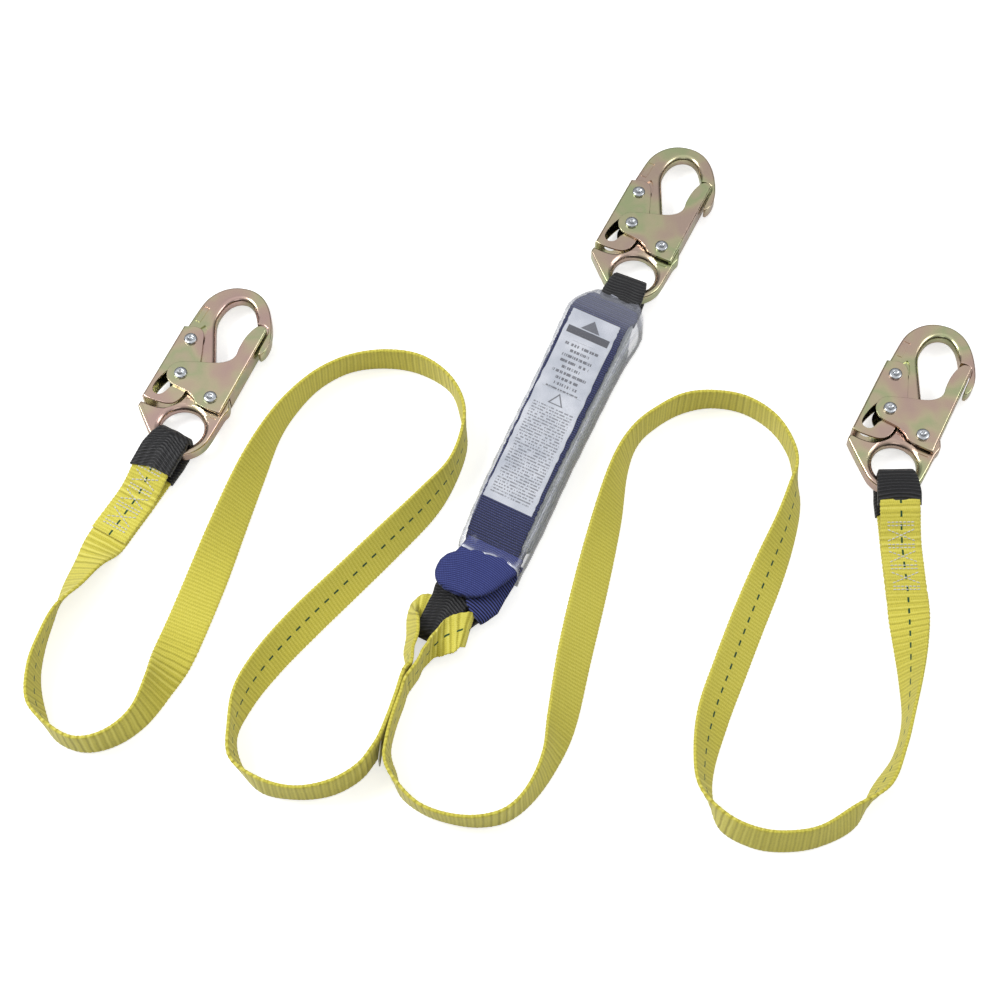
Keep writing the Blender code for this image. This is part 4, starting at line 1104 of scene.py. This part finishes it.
def refined(points, step=1.1, corner=36.0):
    """A closed outline of (x, y, rim) points with its curves filled in; sharper turns stay as corners."""
    count = len(points)
    spots = [Vector(p[:2]) for p in points]
    runs = [spots[(i + 1) % count] - spots[i] for i in range(count)]
    found = []
    for i in range(count):
        j = (i + 1) % count
        run = runs[i]
        length = run.length
        tangents = []
        for k, before, after in ((i, runs[i - 1], run), (j, run, runs[j])):
            if before.angle(after) > math.radians(corner):
                tangents.append(run.normalized())
            else:
                share = (before.normalized() * before.length + after.normalized() * after.length)
                tangents.append(share.normalized())
        straight = tangents[0].angle(run) < 0.01 and tangents[1].angle(run) < 0.01
        parts = 1 if straight and length < 9 else max(1, round(length / (step if not straight else 5.0)))
        for k in range(parts):
            t = k / parts
            a = spots[i] * (2 * t**3 - 3 * t**2 + 1) + tangents[0] * length * (t**3 - 2 * t**2 + t)
            b = spots[j] * (3 * t**2 - 2 * t**3) + tangents[1] * length * (t**3 - t**2)
            rim = points[i][2] * (1 - t) + points[j][2] * t
            found.append((*(a + b), rim))
    return found


def inset(points, share):
    """Each corner moved inwards by its own edge radius times share."""
    moved = []
    count = len(points)
    for i, (x, y, radius) in enumerate(points):
        here = Vector((x, y))
        along = (here - Vector(points[i - 1][:2])).normalized()
        onward = (Vector(points[(i + 1) % count][:2]) - here).normalized()
        normal = (Vector((-along.y, along.x)) + Vector((-onward.y, onward.x))).normalized()
        stretch = min(1.0 / max(normal.dot(Vector((-along.y, along.x))), 0.5), 2.0)
        moved.append(here + normal * radius * share * stretch)
    return moved


def rounded_plate(name, points, half, steps=5):
    """A plate 2 x half thick with quarter-round rims; points are (x, y, rim radius), anticlockwise."""
    rings = []
    for side in (1.0, -1.0):
        turns = [math.pi / 2 * k / steps for k in range(steps + 1)]
        for turn in turns if side > 0 else turns[::-1]:
            flat = inset(points, 1 - math.sin(turn))
            drop = 1 - math.cos(turn)
            rings.append([(p.x, p.y, side * (half - drop * q[2])) for p, q in zip(flat, points)])
    count = len(points)
    verts = [v for ring in rings for v in ring]
    faces = [list(range(count)), list(range(len(verts) - count, len(verts)))[::-1]]
    for r in range(len(rings) - 1):
        for i in range(count):
            j = (i + 1) % count
            faces.append([r * count + i, (r + 1) * count + i, (r + 1) * count + j, r * count + j])
    return mesh_of(name, verts, faces)


def cut(mesh, cutters):
    """The mesh with each cutter taken out of it."""
    obj = in_scene("work", mesh)
    tools = []
    for cutter in cutters:
        tool = in_scene("cutter", cutter)
        step = obj.modifiers.new("cut", "BOOLEAN")
        step.solver = "EXACT"
        step.operation = "DIFFERENCE"
        step.object = tool
        tools.append(tool)
    graph = bpy.context.evaluated_depsgraph_get()
    result = bpy.data.meshes.new_from_object(obj.evaluated_get(graph))
    for tool in tools:
        bpy.data.objects.remove(tool)
    bpy.data.objects.remove(obj)
    return result


def prism(points, low, high):
    count = len(points)
    verts = [(x, y, low) for x, y in points] + [(x, y, high) for x, y in points]
    faces = [list(range(count))[::-1], list(range(count, 2 * count))]
    return mesh_of("prism", verts, faces + around(count, 0, count))


def lathe(name, profile, segments, centre=(0.0, 0.0)):
    """A solid of revolution about Z; the profile starts and ends on the axis."""
    verts = [(centre[0], centre[1], profile[0][1]), (centre[0], centre[1], profile[-1][1])]
    rows = profile[1:-1]
    for radius, z in rows:
        for i in range(segments):
            turn = math.tau * i / segments
            verts.append((centre[0] + radius * math.cos(turn), centre[1] + radius * math.sin(turn), z))
    faces = []
    last = 2 + (len(rows) - 1) * segments
    for i in range(segments):
        j = (i + 1) % segments
        faces.append([0, 2 + j, 2 + i])
        faces.append([1, last + i, last + j])
        for r in range(len(rows) - 1):
            low = 2 + r * segments
            faces.append([low + i, low + j, low + segments + j, low + segments + i])
    return mesh_of(name, verts, faces)


def disc(centre, radius, low, high, segments=56):
    return lathe("disc", [(0, low), (radius, low), (radius, high), (0, high)], segments, centre)


def hole(centre, radius, reach=PLATE_REACH):
    """The cutter of a hole through both faces for a shank of that radius."""
    return disc(centre, radius + HOLE_CLEARANCE, -reach, reach)


def arc(centre, radius, start, end, steps, rim):
    spots = []
    for i in range(steps + 1):
        turn = math.radians(start + (end - start) * i / steps)
        spots.append((centre[0] + radius * math.cos(turn), centre[1] + radius * math.sin(turn), rim))
    return spots


def rimmed(spots, rim):
    """Outline points (x, y) with the same rim radius."""
    return [(x, y, rim) for x, y in spots]


def flat_outline(points, step=1.0, corner=36.0):
    return [(x, y) for x, y, _ in refined(rimmed(points, 0.0), step, corner)]


def soft_corners(points, radius, steps=4):
    """A straight-sided outline with its corners rounded."""
    found = []
    count = len(points)
    for i in range(count):
        here = Vector(points[i])
        a = here + (Vector(points[i - 1]) - here).normalized() * radius
        b = here + (Vector(points[(i + 1) % count]) - here).normalized() * radius
        for k in range(steps + 1):
            t = k / steps
            spot = a * (1 - t) ** 2 + here * 2 * t * (1 - t) + b * t**2
            found.append((spot.x, spot.y))
    return found


def groove(outline, wide, low, high):
    """A ring-shaped prism: the outline's own band, that wide."""
    inner = inset(rimmed(outline, wide), 1.0)
    count = len(outline)
    verts = [(x, y, z) for z in (low, high) for ring in (outline, inner) for x, y in ring]
    faces = []
    for i in range(count):
        j = (i + 1) % count
        for a, b in ((0, 1), (1, 3), (3, 2), (2, 0)):
            faces.append([a * count + i, b * count + i, b * count + j, a * count + j])
    return mesh_of("groove", verts, faces)


def body_outline():
    """Forged body: hook arc, nose, throat, bar, flange, eye ring and shield, anticlockwise."""
    rim, throat, tip = 1.2, 3.0, 0.7
    nose = [(8.1, 53.0), (8.8, 46.0), (9.6, 43.4), (11.2, 43.4), (12.3, 46.0), (12.6, 50.5), (11.6, 56.0)]
    crown = [(8.6, 63.2), (4.0, 70.8), (-1.5, 77.4), (-8.0, 82.3), (-15.0, 84.5), (-21.5, 84.2)]
    shoulder = [(-28.8, 81.7), (-34.5, 77.3), (-38.6, 71.5), (-41.0, 65.0), (-41.7, 58.0), (-41.7, 44.0)]
    inside = [(-11.5, 25.0), (-19.9, 40.0), (-25.4, 50.0), (-27.2, 55.0), (-27.7, 61.0), (-26.8, 67.5)]
    inside += [(-24.0, 72.5), (-19.5, 75.4), (-14.5, 75.3), (-9.5, 72.2), (-5.2, 67.2)]
    notch = [(-1.8, 62.8), (0.0, 63.6), (3.0, 63.9), (5.6, 63.0), (7.3, 60.0)]
    flange = [(12.6, -6.0), (13.3, -0.8), (10.6, 5.2), (7.2, 6.6), (3.0, 7.6), (-1.5, 8.2), (-5.5, 14.0)]
    inlet = [(-24.0, 27.0), (-21.3, 22.5), (-17.8, 15.0), (-16.4, 6.0), (-16.2, -2.0), (-17.4, -8.6)]
    shield = [(-20.0, -13.6), (-24.5, -17.4), (-31.0, -19.2), (-40.0, -19.6), (-40.1, -22.5), (-39.3, -24.0)]
    outline = arc(LEVER_PIVOT, 7.7, 180.0, 300.0, 5, 0.6)
    outline += rimmed(inlet + shield, rim)
    outline += arc(EYE, RING_RADIUS, -130.0, 2.0, 9, 1.6)
    outline += rimmed(flange, rim) + rimmed(inside, throat)
    return outline + rimmed(notch + nose, tip) + rimmed(crown + shoulder, rim)


def body_cutters():
    flare = [(0, -7), (18.6, -7), (17.9, -4.6), (16.9, -4.2), (15.9, -3.7)]
    flare += [(15.0, -3.1), (14.4, -2.3), (EYE_RADIUS, -1.2)]
    cutters = [lathe("eye", flare + [(r, -z) for r, z in reversed(flare)], 96, EYE)]
    valley = [(-32.0, 47.5), (-33.6, 44.0), (-31.0, 41.5), (-27.5, 37.5), (-26.0, 38.5), (-29.6, 45.5)]
    frame = soft_corners([(-40.0, 47.4), (-35.6, 47.4), (-35.6, 60.0), (-40.0, 60.0)], 0.7)
    pads = [[(-15.0, -5.3), (-11.0, -13.3), (-7.6, -11.5), (-11.6, -3.5)]]
    pads.append([(2.6, -14.6), (9.8, -13.8), (9.4, -10.4), (2.2, -11.0)])
    outlines = [(flat_outline(valley, 1.0, 60.0), 1.2)] + [(soft_corners(pad, 0.7), 0.5) for pad in pads]
    for side in (1.0, -1.0):

        def outward(level):
            """Heights of a cutter from that level out past this face of the plate."""
            return sorted((side * level, side * BODY_REACH))

        cutters.append(groove(frame, 0.55, *outward(BODY_HALF - 0.45)))
        cutters += [prism(outline, *outward(BODY_HALF - depth)) for outline, depth in outlines]
        for centre, radius in (((0.0, 0.0), 8.5), (LEVER_PIVOT, 8.8)):
            cutters.append(disc(centre, radius, *outward(THIN_BOSS_HALF)))
    return cutters + [hole(centre, SHANK_RADIUS, BODY_REACH) for centre in ((0.0, 0.0), LEVER_PIVOT)]


def body_mesh():
    return cut(rounded_plate("hook_body", refined(body_outline()), BODY_HALF, 6), body_cutters())


def gate_outline():
    """Keeper side plate: latch lobe, heel, outer web edge and tip, anticlockwise."""
    web, edge = 1.6, 0.3
    heel = [(-20.0, -1.9), (-14.5, -2.6), (-10.0, -4.6), (-6.6, -7.2), (-2.5, -8.0), (4.0, -7.8)]
    tip = [(5.7, 61.3), (2.5, 61.2), (0.2, 59.6), (-1.8, 54.0), (-2.6, 47.5), (-2.2, 40.0), (-1.3, 35.0)]
    tip += [(-2.2, 31.0), (-4.8, 27.6), (-8.5, 24.9), (-13.0, 22.8), (-22.5, 18.9)]
    outline = arc(LATCH_PIN, 9.0, 110.0, 262.0, 6, edge)
    outline += rimmed(heel, edge) + rimmed([(10.9, -7.6), (6.9, 60.0)], web)
    return outline + rimmed(tip, edge)


def gate_mesh():
    """U-shaped keeper: two plates joined by a web, slotted at the heel for the body flange."""
    plate = rounded_plate("gate", refined(gate_outline()), GATE_OUTER, 4)
    hollow = prism([(-40, -12), (9.55, -12), (5.1, 64), (-40, 64)], -GATE_INNER, GATE_INNER)
    slot = prism([(5, -12), (16, -12), (16, 6.6), (5, 6.6)], -BODY_HALF - 0.7, BODY_HALF + 0.7)
    return cut(plate, [hollow, slot, hole((0.0, 0.0), SHANK_RADIUS), hole(LATCH_PIN, PIN_RADIUS)])


def lever_outline():
    """Lock lever side plate, anticlockwise from the foot of its web."""
    edge, web = 0.3, 1.4
    foot = [(-36.0, -16.6), (-30.0, -16.0), (-24.0, -14.8), (-20.0, -12.4), (-17.9, -8.5), (-17.3, -3.0)]
    rise = [(-17.8, 5.0), (-18.5, 15.0), (-19.8, 21.0), (-27.2, 37.8), (-29.0, 41.0), (-32.2, 43.0)]
    top = [(-37.0, 42.8), (-40.5, 41.2)]
    return rimmed([(-40.7, -16.6)], web) + rimmed(foot + rise + top, edge) + rimmed([(-43.5, 40.6)], web)


def pin_slot():
    """Room the latch pin sweeps in the lever plate, with the shoulder that holds it when locked."""
    shoulder = [(-22.6, 8.2), (-38.0, -5.5)]
    left = [(-37.4, 0.0), (-36.2, 5.0), (-34.6, 9.0), (-32.0, 11.0), (-28.5, 11.3)]
    left += [(-25.6, 10.8), (-23.7, 9.8)]
    right = [(-22.7, 6.2), (-23.9, 3.6), (-25.2, 0.9), (-26.6, -1.8), (-28.2, -4.6), (-28.9, -7.6)]
    end = [(-30.3, -10.3), (-32.8, -11.6), (-35.4, -11.3), (-37.4, -9.2)]
    return left[::-1] + [shoulder[1]] + end[::-1] + right[::-1] + [shoulder[0]]


def lever_mesh():
    plate = rounded_plate("lock_lever", refined(lever_outline()), LEVER_OUTER, 4)
    hollow = prism([(-39.25, -24), (-10, -24), (-10, 50), (-42.6, 50)], -LEVER_INNER, LEVER_INNER)
    slot = prism(flat_outline(pin_slot(), 0.8), -PLATE_REACH, PLATE_REACH)
    return cut(plate, [hollow, slot, hole(LEVER_PIVOT, SHANK_RADIUS)])


def rivet_mesh(name, shank, seat, top):
    """A rivet with a rounded head and a dimple at both ends."""
    r = HEAD_RADIUS
    head = [(shank, seat), (r - 0.1, seat), (r, seat + 0.15), (r, seat + 0.55), (r - 0.12, top - 0.62)]
    head += [(r - 0.38, top - 0.32), (r - 0.8, top - 0.12), (r - 1.4, top), (2.05, top), (1.75, top - 0.12)]
    head += [(1.45, top - 0.5), (1.1, top - 0.72), (0.5, top - 0.8), (0.0, top - 0.82)]
    return lathe(name, [(x, -z) for x, z in reversed(head)] + head, 48)


def spring_mesh(coil, wire, low, high, start, turns, lead_out, tail_out):
    """A short torsion spring about Z with a straight leg at each end."""
    steps = round(turns * 36)
    path = []
    for i in range(steps + 1):
        turn = math.radians(start) + math.tau * turns * i / steps
        path.append(Vector((coil * math.cos(turn), coil * math.sin(turn), low + (high - low) * i / steps)))
    first = (path[0] - path[1]).normalized()
    last = (path[-1] - path[-2]).normalized()
    path.insert(0, path[0] + Vector((first.x, first.y, 0)) * lead_out)
    path.append(path[-1] + Vector((last.x, last.y, 0)) * tail_out)
    sides = 10
    verts = []
    for i, point in enumerate(path):
        ahead = path[min(i + 1, len(path) - 1)] - path[max(i - 1, 0)]
        side = ahead.cross(Vector((0.0, 0.0, 1.0))).normalized()
        upward = side.cross(ahead).normalized()
        for k in range(sides):
            turn = math.tau * k / sides
            verts.append(point + side * wire * math.cos(turn) + upward * wire * math.sin(turn))
    return mesh_of("wire", verts, capped(sides, len(path)))


def add_hooks():
    """Each hook's pieces, made once in the hook's own plan frame and copied to its three places."""
    rivet, spring = rivet_look(), spring_look()
    tints = {
        "left": zinc_look("zinc_left", (0.60, 0.49, 0.37), 3.1),
        "top": zinc_look("zinc_top", (0.53, 0.53, 0.33), 8.4),
        "right": zinc_look("zinc_right", (0.56, 0.49, 0.33), 14.7),
    }
    away = Matrix.Translation((*LEVER_PIVOT, 0.0))
    lever_spring = spring_mesh(4.4, 0.4, 2.6, 3.9, 70.0, 1.5, 2.0, 4.0)
    lever_rivet = rivet_mesh("lever_rivet", SHANK_RADIUS, LEVER_SEAT, LEVER_HEAD_TOP)
    latch_pin = rivet_mesh("latch_pin", PIN_RADIUS, HEAD_SEAT, HEAD_TOP)
    lever_spring.transform(away)
    lever_rivet.transform(away)
    latch_pin.transform(Matrix.Translation((*LATCH_PIN, 0.0)))
    parts = {
        "hook_body": (body_mesh(), "hook", None),
        "gate": (gate_mesh(), "keeper", None),
        "lock_lever": (lever_mesh(), "lock", None),
        "gate_rivet": (rivet_mesh("gate_rivet", SHANK_RADIUS, HEAD_SEAT, HEAD_TOP), "hook", rivet),
        "lever_rivet": (lever_rivet, "hook", rivet),
        "latch_pin": (latch_pin, "keeper", rivet),
        "gate_spring": (spring_mesh(4.6, 0.55, 2.75, 5.6, 200.0, 2.5, 2.2, 7.0), "hook", spring),
        "lever_spring": (lever_spring, "hook", spring),
    }
    for which, (pivot, heading, _) in HOOKS.items():
        turned = Matrix.Rotation(math.radians(heading - 90.0), 4, "Z")
        move = Matrix.Translation((*pivot, HOOK_HEIGHT)) @ turned
        for part, (shape, body, look) in parts.items():
            mesh = shape.copy()
            mesh.transform(move)
            stored(mesh, look or tints[which], sharp=58.0 if look is rivet else 32.0)
            made = piece(f"{which}_{part}_fine", mesh, f"{which}_{body}", (f"{which}_{part}",))
            if look is None:
                made.modifiers.new("even shading", "WEIGHTED_NORMAL").keep_sharp = True


def add_floor():
    """White floor: it shows white, and throws back less light than it shows."""
    n = Nodes("floor_look")
    n.finish((0.8, 0.8, 0.8), 0.9)
    path = n.tree.nodes.new("ShaderNodeLightPath")
    seen = n.scaled(path.outputs["Is Camera Ray"], 0.55, 0.05)
    n.put(n.shader.inputs["Emission Color"], (1.0, 1.0, 1.0))
    n.put(n.shader.inputs["Emission Strength"], seen)
    mesh = bpy.data.meshes.new("floor")
    size, drop = 4.0, -0.0003
    corners = ((-size, -size), (size, -size), (size, size), (-size, size))
    mesh.from_pydata([(x, y, drop) for x, y in corners], [], [[0, 1, 2, 3]])
    mesh.materials.append(n.material)
    floor = in_scene("floor", mesh)


def add_world():
    """A bright ceiling that falls off to a darker horizon, and a pale floor tone below it."""
    world = bpy.data.worlds.new("studio")
    world.use_nodes = True
    tree = world.node_tree
    place = tree.nodes.new("ShaderNodeTexCoord")
    split = tree.nodes.new("ShaderNodeSeparateXYZ")
    fall = tree.nodes.new("ShaderNodeValToRGB")
    tree.links.new(place.outputs["Generated"], split.inputs[0])
    tree.links.new(split.outputs["Z"], fall.inputs[0])
    tree.links.new(fall.outputs[0], tree.nodes["Background"].inputs[0])
    stops = ((0.0, 1.15), (0.02, 0.05), (0.35, 0.12), (0.70, 0.55), (0.88, 0.95), (1.0, 1.0))
    fill_ramp(fall.color_ramp, stops)
    tree.nodes["Background"].inputs[1].default_value = 0.85
    bpy.context.scene.world = world


def add_lamps():
    lamps = (
        ("key", (-1.25, 0.15, 1.4), 0.8, 20.0),
        ("fill", (1.2, 0.1, 1.2), 0.7, 5.0),
        ("front", (0.2, -1.5, 1.1), 0.8, 1.5),
    )
    for name, place, size, power in lamps:
        data = bpy.data.lights.new(name, "AREA")
        data.size = size
        data.energy = power
        lamp = in_scene(name, data)
        lamp.location = place
        lamp.rotation_euler = (-Vector(place)).to_track_quat("-Z", "Y").to_euler()


add_camera()
add_legs()
black_look = sleeve_look()
add_sleeves(black_look)
add_choke_loop(black_look, add_pack(black_look))
add_tear()
add_cover()
add_labels()
add_hooks()
add_floor()
add_world()
add_lamps()
bpy.context.scene.view_settings.view_transform = "Standard"
